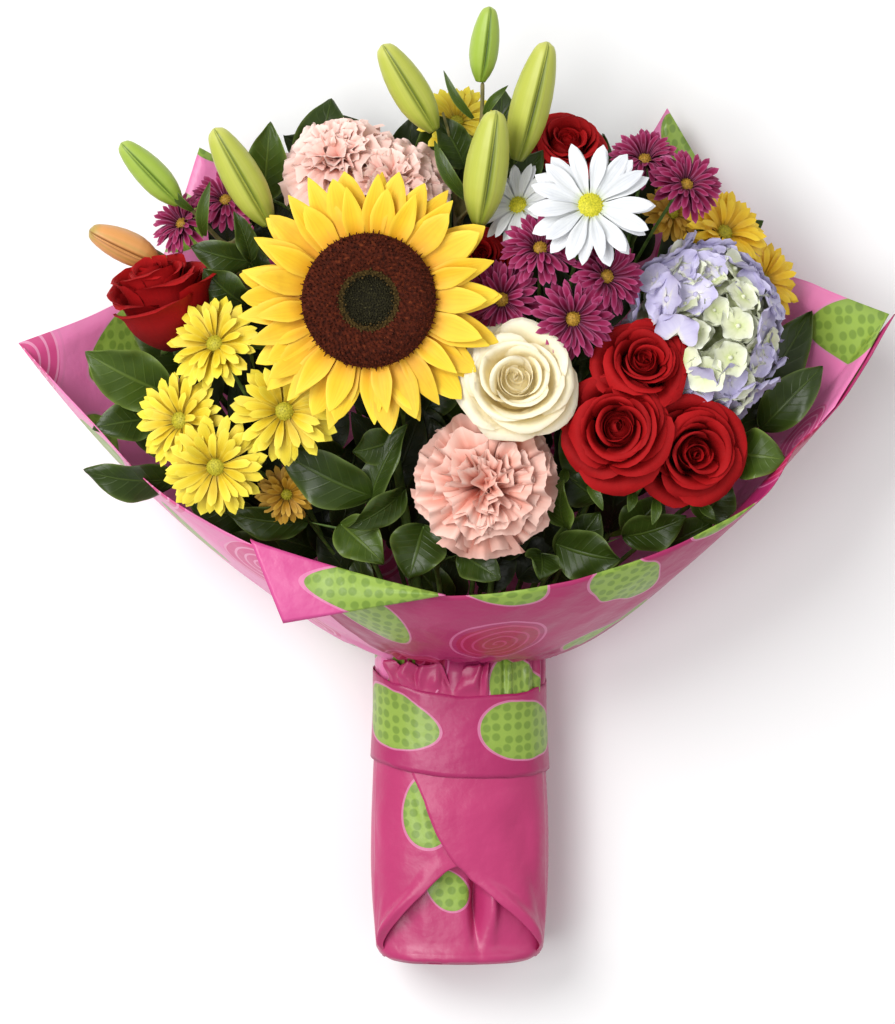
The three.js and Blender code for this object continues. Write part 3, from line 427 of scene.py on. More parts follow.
def bud_material(name, seam, low, high, tip):
    """A closed lily bud: smooth and waxy, its six tepals meeting in seams painted darker, as shade in their
    grooves, with a paler band beside each.
    """
    made, tree, shader = new_material(name, 0.42)
    around, _, up = uv_parts(tree)
    body = ramp(up, [(0.0, low), (0.3, high), (0.85, high), (1.0, tip)], "EASE")
    beside = abs(maths("FRACT", around * 3.0 + 0.5) - 0.5)
    # Painted shade along the grooves of the seams
    line = ranged(beside, 0.02, 0.14, 1.0, 0.0) * ranged(up, 0.05, 0.25, 0.35, 1.0)
    pale = ranged(abs(beside - 0.2), 0.0, 0.1, 0.45, 0.0)
    streak = noise_of(combined(tree, around * 60.0, up), 1.0, 2.0)
    streaked = blended(streak * 0.3, blended(pale, body, tip), low)
    return dressed(made, shader, blended(line, streaked, seam), streak, 0.15, 0.5)


# The wrapper's print, in the flat sheet's millimetres: cells with one motif each, ovals and coils
PRINT_CELL = (74.0, 62.0)
PRINT_OVAL = (28.0, 17.0)
OVAL_SHARE = 0.56
COIL_DISC, COIL_RING, COIL_STEP = 23.0, 26.0, 6.0
DOT_STEP = 6.5
# How far a motif strays from the middle of its cell, in mm, and turns, in radians
STRAY_ACROSS, STRAY_UP, STRAY_TURN = 16.0, 10.0, 2.2
# Above this height the sleeve's paper faces the front
FRONT_HEIGHT = 45.0
INK_RING, INK_OUTLINE = "#dc7fab", "#d98bb0"


def drawn_oval(x, y, half_length, half_width):
    """A value that is 1 on the outline of an oval, wider at its far end, and less inside it."""
    return maths("SQRT", abs(x / half_length) ** 2.0 + abs(y / (x * 0.12 + half_width)) ** 2.0)


def near(value, middle, reach):
    """1 where a value lies within reach of a middle, else 0."""
    return abs(value - middle) < reach


def dotted_green(flat, oval):
    """Green ink with darker dots, a little deeper towards the rim of its oval."""
    links = {"Vector": flat, "Scale": 1 / DOT_STEP, "Randomness": 0.35}
    distance = value_of(flat.tree, "ShaderNodeTexVoronoi", links, "Distance", voronoi_dimensions="2D")
    green = blended(ranged(distance, 0.3, 0.42, 0.8, 0.0), "#8fac45", "#6c8a31")
    return blended(oval ** 6.0 * 0.5, green, "#728e32")


def handled_paper(made, shader, printed, flat):
    """Printed paper with the soft dents and finer creases of handling."""
    return dressed(made, shader, printed, noise_of(flat, 0.045, 5.0, Roughness=0.45), 3.0, 0.6)


def wrapper_print(name, deep, pale, coil_disc="#ab1c4c", coil_line="#cf5085", draw_seed=3.0):
    """Glossy wrapping paper, offset-printed on both sides: pink ground, dotted green ovals and coiled rings.

    The layout is this model's own: staggered cells, each with one motif at a random place and angle. The UV
    map is the flat sheet in units of 100 mm.
    """
    made, tree, shader = new_material(name, 0.36, ior=1.5, Coat_Weight=0.08, Coat_Roughness=0.2)
    flat = vectors("SCALE", {0: value_of(tree, "ShaderNodeUVMap", uv_map="UVMap"), 3: 100.0})
    across, up, _ = parts_of(flat)
    row_at = up / PRINT_CELL[1]
    row = maths("FLOOR", row_at)
    column_at = across / PRINT_CELL[0] + maths("FLOORED_MODULO", row, 2.0) * 0.5
    column = maths("FLOOR", column_at)
    seed = combined(tree, column, row, draw_seed)
    draw = add(tree, "ShaderNodeTexWhiteNoise", {"Vector": seed}, noise_dimensions="3D").outputs
    split = add(tree, "ShaderNodeSeparateColor", {0: Value(tree, draw["Color"])}).outputs
    luck = [Value(tree, socket) - 0.5 for socket in split]
    x = (column_at - column - 0.5) * PRINT_CELL[0] - luck[0] * STRAY_ACROSS
    y = (row_at - row - 0.5) * PRINT_CELL[1] - luck[1] * STRAY_UP
    turned = spun(combined(tree, x, y), luck[2] * STRAY_TURN)
    own_x, own_y, _ = parts_of(turned)
    is_oval = Value(tree, draw["Value"]) < OVAL_SHARE
    oval = drawn_oval(own_x, own_y, *PRINT_OVAL)
    is_coil = 1.0 - is_oval
    far = vectors("LENGTH", {0: turned}, "Value")
    wind = maths("FRACT", far / COIL_STEP - maths("ARCTAN2", own_y, own_x) / TURN)
    coil = blended(near(wind, 0.5, 0.12) * 0.6, coil_disc, coil_line)
    ground = blended(noise_of(flat, 0.018, 1.0), deep, pale)
    printed = blended(is_coil * (far < COIL_DISC), ground, coil)
    printed = blended(is_coil * near(far, COIL_RING, 0.7) * 0.6, printed, INK_RING)
    printed = blended(is_oval * (oval < 1.0), printed, dotted_green(flat, oval))
    printed = blended(is_oval * near(oval, 1.02, 0.032) * 0.6, printed, INK_OUTLINE)
    return handled_paper(made, shader, printed, flat)


def foot_paper(name, spots, deep="#a6285c", pale="#c43e76"):
    """The paper's almost bare pink end, satin, with an oval of the print here and there on its front.

    spots are (x, y, half length, half width, angle) in mm.
    """
    made, tree, shader = new_material(name, 0.36, ior=1.5)
    flat = vectors("SCALE", {0: object_place(tree), 3: 1000.0})
    shown = blended(noise_of(flat, 0.022, 2.0), deep, pale)
    front = maths("GREATER_THAN", parts_of(flat)[2], FRONT_HEIGHT)
    for x, y, half_length, half_width, angle in spots:
        own_x, own_y, _ = parts_of(spun(vectors("SUBTRACT", {0: flat, 1: (x, y, 0.0)}), angle))
        oval = drawn_oval(own_x, own_y, half_length, half_width)
        shown = blended(near(oval, 1.04, 0.045) * front * 0.6, shown, INK_OUTLINE)
        shown = blended((oval < 1.0) * front, shown, dotted_green(flat, oval))
    return handled_paper(made, shader, shown, flat)


# Glossy pink paper with its print; the back sheet wears a paler copy of it, painted light on the lit inner
# side of the collar
PAPER_PRINTED = wrapper_print("printed_wrapping_paper", "#9a1d54", "#b6306c")
PAPER_PAINTED_LIGHT = wrapper_print(
    "printed_paper_with_light_through_it", "#dc609f", "#ee92c0", "#d5508a", "#f3b4d3", 5.0
)
# The darker, almost plain paper of the sleeve and its flaps, and the paler underside of the turned corner
PAPER_FOOT = foot_paper("bare_wrapping_paper", [(-8, -101, 15, 10, 0.8)])
PAPER_FLAP = foot_paper("bare_folded_paper", [(-19, -57, 20, 13, 1.45)])
PAPER_PLAIN = foot_paper("plain_wrapping_paper", [])
PAPER_CORNER = foot_paper("turned_paper_corner", [(-48, 79.5, 37, 14.5, 0.16)], "#bf3a7c", "#d65a98")
# Fresh green stalks and calyxes, and leathery leaves that shine a little
STALK = grain_material(
    "green_stalk", [(0.3, "#3f5a22"), (0.55, "#5f7d35"), (0.8, "#7c9448")], 4.0, 0.5, 0.2, (1, 0.25, 1)
)
# Each leaf's third colour is a painted highlight along its rim
LEAF = leaf_material("evergreen_leaf", "#364813", "#5f7430", "#66783a", "#1b2907", 0.36)
LEAF_LIGHT = leaf_material("young_leaf", "#4a601a", "#7b903c", "#7c9044", "#2a3c0f", 0.38)
# A darker copy of the leaf: painted shade for the leaves low among the stems
LEAF_PAINTED_SHADE = leaf_material("shaded_leaf", "#24300d", "#3f4e22", "#465628", "#111a05", 0.46)
SEPAL_GREEN = grain_material("calyx_green", [(0.3, "#4c6b2a"), (0.7, "#88a355")], 3.0, 0.5, 0.2)
# Matt, velvety red roses; the ramp darkens strongly towards each petal's foot, painted shade deep inside the
# bloom
RED_ROSE = petal_material(
    "red_rose_petal",
    [(0.0, "#4a0204"), (0.4, "#7d0608"), (0.8, "#9f090d"), (1.0, "#a90b10")],
    "#b81518", "#740509", veins=0.15, rim=0.3, shade="#480306", roughness=0.75, Specular_IOR_Level=0.22,
)
# A cream rose. Its pale foot colour, its pale patches and its faint glow are painted light that fills the
# shade deep between the petals, standing for daylight that comes through thin petals
CREAM_ROSE = petal_material(
    "cream_rose_petal",
    [(0.0, "#f0dc96"), (0.45, "#f6e6b0"), (0.85, "#faeec6"), (1.0, "#fbf2d4")],
    "#fcf5de", "#efdfa8", veins=0.12, rim=0.4, shade="#f0e0ac",
    Subsurface_Weight=0.4, Subsurface_Radius=(1.0, 0.9, 0.7), Subsurface_Scale=0.006,
    Emission_Color=(0.9, 0.72, 0.4, 1.0), Emission_Strength=0.045,
)
# Carnations: papery frills, pale at the rim and darker within; on the salmon ones the dark foot of the ramp
# and the darker patches are painted shade in the deep folds
BLUSH_CARNATION = petal_material(
    "salmon_carnation_petal",
    [(0.0, "#8c2c1c"), (0.45, "#c06450"), (0.78, "#e8aa98"), (1.0, "#f3c6b7")],
    "#f7d8cb", "#d4806c", streaks=18, veins=0.25, rim=0.45, shade="#c46c58",
)
PALE_CARNATION = petal_material(
    "pale_carnation_petal",
    [(0.0, "#c98272"), (0.5, "#eab3a6"), (0.85, "#f3cabf"), (1.0, "#f6d6cc")],
    "#fae4dc", "#e3a798", streaks=18, veins=0.2, rim=0.45, shade="#dc9f90",
)
# Ray florets of daisies, chrysanthemums and the sunflower: thin, grooved straps, darker at the foot
# The daisy's grey streaks are painted shade in the fine grooves of its white rays
WHITE_RAY = petal_material(
    "white_daisy_ray",
    [(0.0, "#d3dbb4"), (0.2, "#e6e8e6"), (1.0, "#f1f2f4")],
    "#fafafc", "#b9bec8", streaks=9, veins=0.35, rim=0.2, shade="#b0b6c2",
)
PURPLE_RAY = petal_material(
    "purple_chrysanthemum_ray",
    [(0.0, "#3c0217"), (0.4, "#700832"), (0.85, "#920e48"), (1.0, "#a62460")],
    "#d27aa8", "#560424", streaks=7, veins=0.3, rim=0.48, shade="#3c0218", roughness=0.7,
    Specular_IOR_Level=0.2,
)
YELLOW_RAY = petal_material(
    "yellow_chrysanthemum_ray",
    [(0.0, "#a8860a"), (0.35, "#e0c01a"), (1.0, "#f5e43a")],
    "#fbf068", "#d2ae12", streaks=8, veins=0.35, rim=0.35, shade="#a88408",
)
GOLD_RAY = petal_material(
    "golden_chrysanthemum_ray",
    [(0.0, "#b88908"), (0.3, "#eebc12"), (1.0, "#fbd62c")],
    "#fde25a", "#d99f0c", streaks=8, veins=0.25, rim=0.3, shade="#a87804",
)
BRONZE_RAY = petal_material(
    "bronze_chrysanthemum_ray",
    [(0.0, "#84590a"), (0.4, "#c08a16"), (1.0, "#dfae30")],
    "#edc85c", "#a0700e", streaks=8, veins=0.35, rim=0.35, shade="#734a04",
)
SUN_RAY = petal_material(
    "sunflower_ray",
    [(0.0, "#c87408"), (0.22, "#eba812"), (0.55, "#f4c61c"), (1.0, "#f8d82e")],
    "#fbe453", "#e3a20f", streaks=10, veins=0.3, rim=0.3, shade="#b57608",
)
# Hydrangea sepals: thin, pale and faintly veined
FLORET_BLUE = petal_material(
    "lilac_hydrangea_sepal",
    [(0.0, "#e4e2d4"), (0.25, "#cfcae2"), (1.0, "#bdb6d9")],
    "#dedaee", "#a9a2cb", streaks=9, veins=0.25, rim=0.5, shade="#9a92bc",
)
FLORET_CREAM = petal_material(
    "cream_hydrangea_sepal",
    [(0.0, "#ccd694"), (0.4, "#dfe2bd"), (1.0, "#e9ebdc")],
    "#f2f3ea", "#c2cc90", streaks=9, veins=0.2, rim=0.4, shade="#bcc690",
)
# Disc florets: dense, matt grains
DISC_OLIVE = grain_material("green_disc_florets", [(0.3, "#98921a"), (0.7, "#c6bc30")], 1.2, 0.6, 0.2)
DISC_LEMON = grain_material("yellow_disc_florets", [(0.3, "#a9a818"), (0.7, "#e4da34")], 1.2, 0.6, 0.2)
DISC_OCHRE = grain_material("ochre_disc_florets", [(0.3, "#8c6a18"), (0.7, "#c79a34")], 1.2, 0.6, 0.2)
MATT = dict(Specular_IOR_Level=0.2)
SEED_MAROON = grain_material(
    "brown_disc_florets", [(0.3, "#2a0e06"), (0.6, "#55200f"), (0.85, "#874420")], 2.0, 0.9, 0.3, **MATT
)
SEED_GOLD = grain_material(
    "golden_disc_florets", [(0.3, "#2c210e"), (0.7, "#5e4a22")], 1.5, 0.85, 0.3, **MATT
)
SEED_DARK = grain_material(
    "dark_disc_florets", [(0.3, "#13100a"), (0.6, "#2a2713"), (0.85, "#66603f")], 1.2, 0.85, 0.3, **MATT
)
# Smooth waxy buds, the stalks that hold them, and dry straw-coloured raffia
HEAD_GREEN = grain_material("hydrangea_flower_stalks", [(0.3, "#8d9c5a"), (0.7, "#c5cb98")], 3.0, 0.6, 0.2)
BUD_GREEN = bud_material("green_lily_bud", "#5c6a16", "#86922c", "#b9bf4e", "#c6c864")
BUD_YOUNG = bud_material("young_lily_bud", "#4d6a16", "#7d9a2e", "#9fb846", "#a9bc58")
BUD_ORANGE = bud_material("orange_lily_bud", "#7d4a1c", "#c07c3c", "#dc9c5c", "#a9984e")
STALK_BROWN = grain_material(
    "brown_green_stalk", [(0.3, "#5b5a30"), (0.7, "#8a7f50")], 3.0, 0.55, 0.2, (1, 0.3, 1)
)
RAFFIA = grain_material("raffia", [(0.3, "#9a8450"), (0.7, "#d6c08a")], 2.0, 0.8, 0.3, (1, 1, 6))

# Growing what repeats: three Geometry Nodes trees that copy shapes onto points

PORT_KINDS = {
    "Geometry": "Geometry", "Shapes": "Collection", "Copies": "Int", "Seed": "Int", "Finish": "Material"
}
LENGTH_WORDS = ("radius", "height", "Half", "Unevenness")


def new_tree(name, *numbers):
    """A tree with its inputs: the shapes to copy, how many, the numbers named, a seed and the finish."""
    tree = bpy.data.node_groups.new(name, "GeometryNodeTree")
    for label in ("Geometry", "Shapes", "Copies", *numbers, "Seed", "Finish"):
        kind = "NodeSocket" + PORT_KINDS.get(label, "Float")
        tree.interface.new_socket(label, in_out="INPUT", socket_type=kind)
    tree.interface.new_socket("Geometry", in_out="OUTPUT", socket_type="NodeSocketGeometry")
    ports = {socket.name: Value(tree, socket) for socket in add(tree, "NodeGroupInput").outputs}
    return ports, value_of(tree, "GeometryNodeInputIndex")


def chance(ports, low, high, offset):
    """A random number for each copy. offset keeps the draws of one tree apart."""
    seed = ports["Seed"] + float(offset)
    links = {2: low, 3: high, "Seed": seed}
    return value_of(seed.tree, "FunctionNodeRandomValue", links, 1, data_type="FLOAT")


def spoke(angle, radius, z):
    """The point at a radius and an angle about Z, at a height."""
    return combined(angle.tree, radius * maths("COSINE", angle), radius * maths("SINE", angle), z)


def close_tree(ports, at, rotation, scale):
    """The shared end of each tree: place the copies, give each a tone, make them real and give the finish."""
    tree = at.tree
    line = value_of(tree, "GeometryNodeMeshLine", {"Count": ports["Copies"]})
    points = value_of(tree, "GeometryNodeSetPosition", {"Geometry": line, "Position": at})
    links = {"Collection": ports["Shapes"], "Separate Children": True, "Reset Children": True}
    source = value_of(tree, "GeometryNodeCollectionInfo", links)
    links = {"Points": points, "Instance": source, "Pick Instance": True}
    links.update(Rotation=rotation, Scale=scale)
    placed = value_of(tree, "GeometryNodeInstanceOnPoints", links)
    links = {"Geometry": placed, "Name": "tone", "Value": chance(ports, 0.0, 1.0, 9)}
    toned = value_of(tree, "GeometryNodeStoreNamedAttribute", links, data_type="FLOAT", domain="INSTANCE")
    real = value_of(tree, "GeometryNodeRealizeInstances", {0: toned})
    finished = value_of(tree, "GeometryNodeSetMaterial", {"Geometry": real, "Material": ports["Finish"]})
    add(tree, "NodeGroupOutput", {0: finished})
    return tree


def whorl_tree():
    """Petals set round an axis, each a turn on from the last, from the innermost outwards."""
    measures = ("radius", "height", "tilt", "size", "depth")
    pairs = [f"{end} {what}" for what in measures for end in ("First", "Last")]
    ports, index = new_tree("petal_whorl", *pairs, "Spacing", "Turn", "Looseness")
    share = (index / maths("MAXIMUM", ports["Copies"] - 1.0, 1.0)) ** ports["Spacing"]

    def between(what):
        first = ports["First " + what]
        return first + share * (ports["Last " + what] - first)

    def shaken(offset):
        return chance(ports, -1.0, 1.0, offset) * ports["Looseness"]

    angle = index * ports["Turn"] + shaken(1)
    at = spoke(angle, between("radius"), between("height"))
    rotation = combined(index.tree, shaken(3), (between("tilt") + shaken(2)) * -1.0, angle)
    uneven = chance(ports, 0.94, 1.06, 4)
    size = between("size") * uneven
    return close_tree(ports, at, rotation, combined(index.tree, size, size, between("depth") * uneven))


def seed_head_tree():
    """Florets packed over a dome in crossing spirals. Each leans out with its distance from the middle."""
    ports, index = new_tree(
        "seed_head", "Inner radius", "Outer radius", "Rim height", "Crown height", "Crown place", "Lean",
        "First size", "Last size", "Looseness",
    )
    share = (index + 0.5) / ports["Copies"]
    inner = (ports["Inner radius"] / ports["Outer radius"]) ** 2.0
    out = maths("SQRT", inner + share * (1.0 - inner))
    crown, rim, first = ports["Crown place"], ports["Rim height"], ports["First size"]
    fall = abs((out - crown) / maths("MAXIMUM", 1.0 - crown, crown)) ** 2.0
    height = rim + (ports["Crown height"] - rim) * (1.0 - fall)
    angle = index * GOLDEN
    at = spoke(angle, out * ports["Outer radius"], height)
    lean = ports["Lean"] * out + chance(ports, -1.0, 1.0, 2) * ports["Looseness"]
    size = (first + out * (ports["Last size"] - first)) * chance(ports, 0.85, 1.15, 4)
    tree = index.tree
    return close_tree(ports, at, combined(tree, 0.0, lean, angle), combined(tree, size, size, size))


def mophead_tree():
    """Florets spread evenly over the upper part of an oval, each facing outwards."""
    ports, index = new_tree(
        "mophead", "Half width", "Half height", "Half depth", "From", "To", "Unevenness", "Size"
    )
    tree = index.tree
    share = (index + 0.5) / ports["Copies"]
    up = ports["From"] + share * (ports["To"] - ports["From"])
    out = spoke(index * GOLDEN, maths("SQRT", 1.0 - up * up), up)
    radii = combined(tree, ports["Half width"], ports["Half height"], ports["Half depth"])
    stand = chance(ports, -1.0, 1.0, 1) * ports["Unevenness"]
    at = vectors("ADD", {0: vectors("MULTIPLY", {0: out, 1: radii}), 1: vectors("SCALE", {0: out, 3: stand})})
    links = {0: (-0.4, -0.4, -0.4), 1: (0.4, 0.4, 0.4), "Seed": ports["Seed"]}
    shaken = value_of(tree, "FunctionNodeRandomValue", links, data_type="FLOAT_VECTOR")
    way = vectors("ADD", {0: out, 1: shaken})
    aimed = value_of(tree, "FunctionNodeAlignRotationToVector", {"Vector": way}, axis="Z")
    spin = combined(tree, z=chance(ports, 0.0, TURN, 3))
    links = {"Rotation": aimed, "Rotate By": value_of(tree, "FunctionNodeEulerToRotation", {0: spin})}
    rotation = value_of(tree, "FunctionNodeRotateRotation", links, rotation_space="LOCAL")
    size = ports["Size"] * chance(ports, 0.82, 1.12, 4)
    return close_tree(ports, at, rotation, combined(tree, size, size, size))


WHORL = whorl_tree()
SEED_HEAD = seed_head_tree()
MOPHEAD = mophead_tree()
stock = bpy.data.collections.new("stock")


def shapes(name, objects):
    """A collection of shape variants that a tree picks from."""
    group = bpy.data.collections.new(name)
    stock.children.link(group)
    for obj in objects:
        bpy.context.scene.collection.objects.unlink(obj)
        group.objects.link(obj)
    return group


def grown(tree, place, group, finish, **values):
    """Runs a tree with the values given, in mm for lengths, and returns a plain object at a place."""
    obj = mesh_object("growing", [], [])
    modifier = obj.modifiers.new("Growth", "NODES")
    modifier.node_group = tree
    sockets = {item.name: item for item in tree.interface.items_tree if item.in_out == "INPUT"}
    modifier[sockets["Shapes"].identifier] = group
    modifier[sockets["Finish"].identifier] = finish
    for key, value in values.items():
        socket = sockets[key.replace("_", " ")]
        is_length = any(word in socket.name for word in LENGTH_WORDS)
        is_whole = socket.socket_type == "NodeSocketInt"
        modifier[socket.identifier] = int(value) if is_whole else float(value) * (MM if is_length else 1)
    flattened(obj)
    obj.data.transform(place)
    return obj


def whorl(
    place, group, finish, petals, radius, height, tilt, size, depth=None, turn=GOLDEN, loose=0.1, seed=1,
    spacing=1.0,
):
    """Petals round an axis. Pairs are the value at the innermost and at the outermost petal."""
    pairs = {"radius": radius, "height": height, "tilt": tilt, "size": size, "depth": depth or size}
    ends = {f"First_{what}": pair[0] for what, pair in pairs.items()}
    ends.update({f"Last_{what}": pair[1] for what, pair in pairs.items()})
    return grown(
        WHORL, place, group, finish, Copies=petals, Turn=turn, Looseness=loose, Seed=seed, Spacing=spacing,
        **ends,
    )


def row(place, group, finish, petals, radius, height, tilt, size, loose, seed):
    """One row of equal petals, evenly spaced."""
    return whorl(
        place, group, finish, petals, (radius, radius), (height, height), (tilt, tilt), (size, size),
        turn=TURN / petals, loose=loose, seed=seed,
    )


# Petal shapes 10 mm long, as surfaces


def strap(width, lift=0.12, cup=0.1, notch=0.0, point=0.0, twist=0.0, foot=0.35, round_from=0.74):
    """A ray petal along X, 10 mm long: a narrow foot and a round, notched or pointed end."""

    def surface(u, v):
        t = max(0.0, (v - round_from) / (1 - round_from))
        taper = mix(math.sqrt(max(0.0, 1 - t * t)), 1 - t ** 1.4, point)
        half = 0.5 * width * mix(foot, 1, smooth(v / 0.55)) * max(taper, 0.04)
        x = 10 * v - 10 * notch * bell(u, 0.25) * smooth((v - 0.8) / 0.2)
        y = half * u
        z = 5 * lift * math.sin(math.pi * min(1, v * 1.05))
        z += cup * width * (u * u - 0.4) * math.sin(math.pi * min(1, 0.15 + v))
        z += 0.03 * width * math.cos(3 * math.pi * u) * (1 - t)
        turn = twist * v
        return (x, y * math.cos(turn) - z * math.sin(turn) * 0.2, z + y * math.sin(turn))

    return surface


def rose_petal(cup, width, point, roll, seed):
    """A petal that wraps an axis: upright up to the share cup of its rim's radius, then a lip that rolls out.

    Its rim has a radius of 10 mm and stands 10 mm high.
    """

    def surface(u, v):
        top = 1 - 0.2 * abs(u) ** 2.6 + point * bell(u, 0.2) + 0.03 * wobble(u, 0, seed, 2.4)
        h = v * top
        angle = u * width * (0.42 + 0.58 * smooth(h / 0.5))
        body = min(1.0, h / 0.7)
        lip = max(0.0, (h - 0.7) / 0.3)
        radius = cup * (0.35 + 0.65 * math.sin(body * math.pi / 2) ** 0.8)
        radius += (1 - cup) * lip ** 0.9 * (0.85 + 0.25 * abs(u)) + 0.04 * wobble(u, v, seed, 2.6) * body
        z = 0.78 * body + 0.22 * math.sin(lip * math.pi * roll) + 0.03 * lip * wobble(u, v, seed + 9, 3.4)
        return (10 * radius * math.cos(angle), 10 * radius * math.sin(angle), 10 * z)

    return surface


def ruffled(seed, ripples, teeth, breadth=0.47, wave=0.1):
    """A carnation petal along X: a narrow claw that opens into a rippled fan with a toothed rim."""

    def surface(u, v):
        fan = v ** 1.5
        half = 0.05 + breadth * fan
        tooth = 0.024 * abs(math.sin(teeth * math.pi * u + seed)) * smooth((v - 0.8) / 0.2)
        lobe = 0.1 * wobble(1.6 * u, 1, seed) * smooth((v - 0.5) / 0.5)
        x = 10 * (v * (1 - 0.16 * u * u) - tooth + lobe)
        phase = ripples * u * math.pi
        ripple = math.sin(phase + seed) + 0.5 * math.sin(1.7 * phase + 2.1 * seed)
        z = 10 * (wave * smooth((v - 0.25) / 0.75) * ripple + 0.12 * math.sin(math.pi * v) - 0.1 * fan * v)
        return (x, 10 * half * u, z)

    return surface


def sepal_face(angle):
    """One of the four rounded sepals of a hydrangea floret, 10 mm from the middle to its rim."""

    def surface(u, v):
        x = 0.6 + 9.6 * v * (1 - 0.18 * u * u)
        y = 6.9 * math.sin(math.pi * min(1, 0.13 + 0.8 * v)) ** 0.6 * u
        z = 1.5 * v * v + 0.9 * u * u * v - 0.35 * math.cos(math.pi * u) * v
        z += 0.9 * wobble(3 * u, 3 * v, angle)
        return (x * math.cos(angle) - y * math.sin(angle), x * math.sin(angle) + y * math.cos(angle), z)

    return surface


def floret(name, seed):
    """A hydrangea floret: four overlapping sepals about a small eye."""
    random.seed(seed)
    turns = [k * TURN / 4 + random.uniform(-0.12, 0.12) for k in range(4)]
    parts = [thin_blade(f"{name}_{k}", 6, 6, sepal_face(turn), 0.4) for k, turn in enumerate(turns)]
    for k, part in enumerate(parts):
        part.data.transform(Matrix.Scale(random.uniform(0.85, 1.08), 4))
        part.data.transform(Matrix.Translation(mm(0, 0, 0.3 * (k % 2))))
    eye = lathe(f"{name}_eye", [(1.3, -1.0), (1.4, 0.6), (0.8, 1.5), (0.1, 1.8)], 8)
    return join(name, parts + [eye])


def peg(name, height, radius, sides=5, tip=0.5):
    return lathe(name, [(radius * 0.8, -height * 0.3), (radius, height * 0.5), (radius * tip, height)], sides)


def split_peg(name, height, radius):
    """A tube floret whose end opens in five points."""

    def wave(angle, k):
        return 1 + (0.45 * math.cos(5 * angle) if k > 0.9 else 0)

    outline = [(radius * 0.6, -height * 0.3), (radius * 0.7, height * 0.6), (radius * 1.4, height)]
    return lathe(name, outline, 10, wave)


def variants(name, rows, columns, thickness, *surfaces):
    return shapes(
        name,
        [thin_blade(f"{name}_{k}", rows, columns, surface, thickness) for k, surface in enumerate(surfaces)],
    )


MUM_PETALS = variants(
    "mum_petals", 9, 5, 0.25,
    strap(2.7, 0.14, 0.12), strap(2.5, 0.28, 0.18, 0.03), strap(2.9, 0.02, 0.12, twist=0.2),
)
PURPLE_PETALS = variants(
    "purple_petals", 9, 5, 0.25,
    strap(2.3, 0.26, 0.3), strap(2.1, 0.4, 0.34), strap(2.4, 0.12, 0.26, twist=0.25),
)
DAISY_PETALS = variants(
    "daisy_petals", 10, 9, 0.2,
    strap(3.3, 0.1, 0.14, 0.02, point=0.25, round_from=0.58),
    strap(3.0, 0.2, 0.18, 0.03, point=0.3, round_from=0.55),
    strap(3.4, 0.02, 0.16, 0.015, point=0.2, twist=0.15, round_from=0.6),
)
SUN_PETALS = variants(
    "sun_petals", 11, 7, 0.14,
    strap(4.3, 0.04, 0.08, point=0.6, foot=0.65, round_from=0.48),
    strap(3.8, 0.16, 0.12, point=0.75, twist=0.3, foot=0.65, round_from=0.44),
    strap(4.6, -0.05, 0.06, point=0.5, twist=-0.25, foot=0.65, round_from=0.5),
    strap(3.9, 0.1, 0.16, point=0.8, twist=0.12, foot=0.7, round_from=0.42),
)
ROSE_OUTER = variants(
    "rose_outer", 13, 13, 0.3,
    rose_petal(0.64, 1.05, 0.06, 0.7, 1),
    rose_petal(0.6, 1.1, 0.1, 0.76, 2),
    rose_petal(0.67, 1.15, 0.03, 0.64, 3),
)
ROSE_MIDDLE = variants(
    "rose_middle", 11, 13, 0.3, rose_petal(0.74, 1.2, 0.0, 0.62, 4), rose_petal(0.7, 1.15, 0.03, 0.66, 5)
)
ROSE_INNER = variants(
    "rose_inner", 9, 13, 0.3, rose_petal(0.9, 1.7, 0.0, 0.5, 6), rose_petal(0.86, 1.5, 0.0, 0.55, 7)
)
CARNATION_PETALS = variants(
    "carnation_petals", 9, 23, 0.14, ruffled(0.3, 2.4, 5), ruffled(1.7, 2.0, 6), ruffled(3.1, 2.8, 5)
)
CARNATION_FANS = variants(
    "carnation_fans", 9, 27, 0.14,
    ruffled(0.7, 1.8, 5, 0.56, 0.11), ruffled(2.3, 2.2, 6, 0.52, 0.13), ruffled(4.1, 1.6, 5, 0.6, 0.12),
)
BLUE_FLORETS = shapes("blue_florets", [floret("blue_floret_a", 1), floret("blue_floret_b", 2)])
CREAM_FLORETS = shapes("cream_florets", [floret("cream_floret_a", 3), floret("cream_floret_b", 4)])
DISC_PEGS = shapes("disc_pegs", [peg("disc_peg_a", 1.1, 0.42), peg("disc_peg_b", 1.4, 0.38)])
SUN_PEGS = shapes("sun_pegs", [split_peg("sun_peg_a", 3.0, 0.5), peg("sun_peg_b", 3.6, 0.45, 5, 0.2)])
SUN_FRINGE = shapes("sun_fringe", [peg("fringe_a", 4.6, 0.7, 5, 0.2), peg("fringe_b", 3.4, 0.8, 5, 0.3)])
SUN_BUTTONS = shapes(
    "sun_buttons", [peg("sun_button_a", 1.5, 0.7, 6, 0.6), peg("sun_button_b", 2.0, 0.45, 5, 0.3)]
)

# Blooms as in the part's source: the middle of each face, the way it faces and its radius. Only the left rose
# faces further up the bouquet than its solid.

ROSES = [
    ("rose_cream", (30, 195, 158), (0, 0.3, 0.95), 33, CREAM_ROSE),
    ("rose_red_front", (88, 164, 154), (0, 0.12, 1), 32, RED_ROSE),
    ("rose_red_upper", (99, 209, 142), (0.15, 0.4, 0.9), 27, RED_ROSE),
    ("rose_red_right", (133, 152, 138), (0.3, 0, 0.95), 29, RED_ROSE),
    ("rose_red_left", (-164, 238, 112), (-0.3, 0.88, 0.28), 29, RED_ROSE),
    ("rose_red_back", (62, 330, 104), (0.1, 0.6, 0.7), 27, RED_ROSE),
    ("rose_red_heart", (11, 260, 122), (0, 0.3, 0.9), 16, RED_ROSE),
]
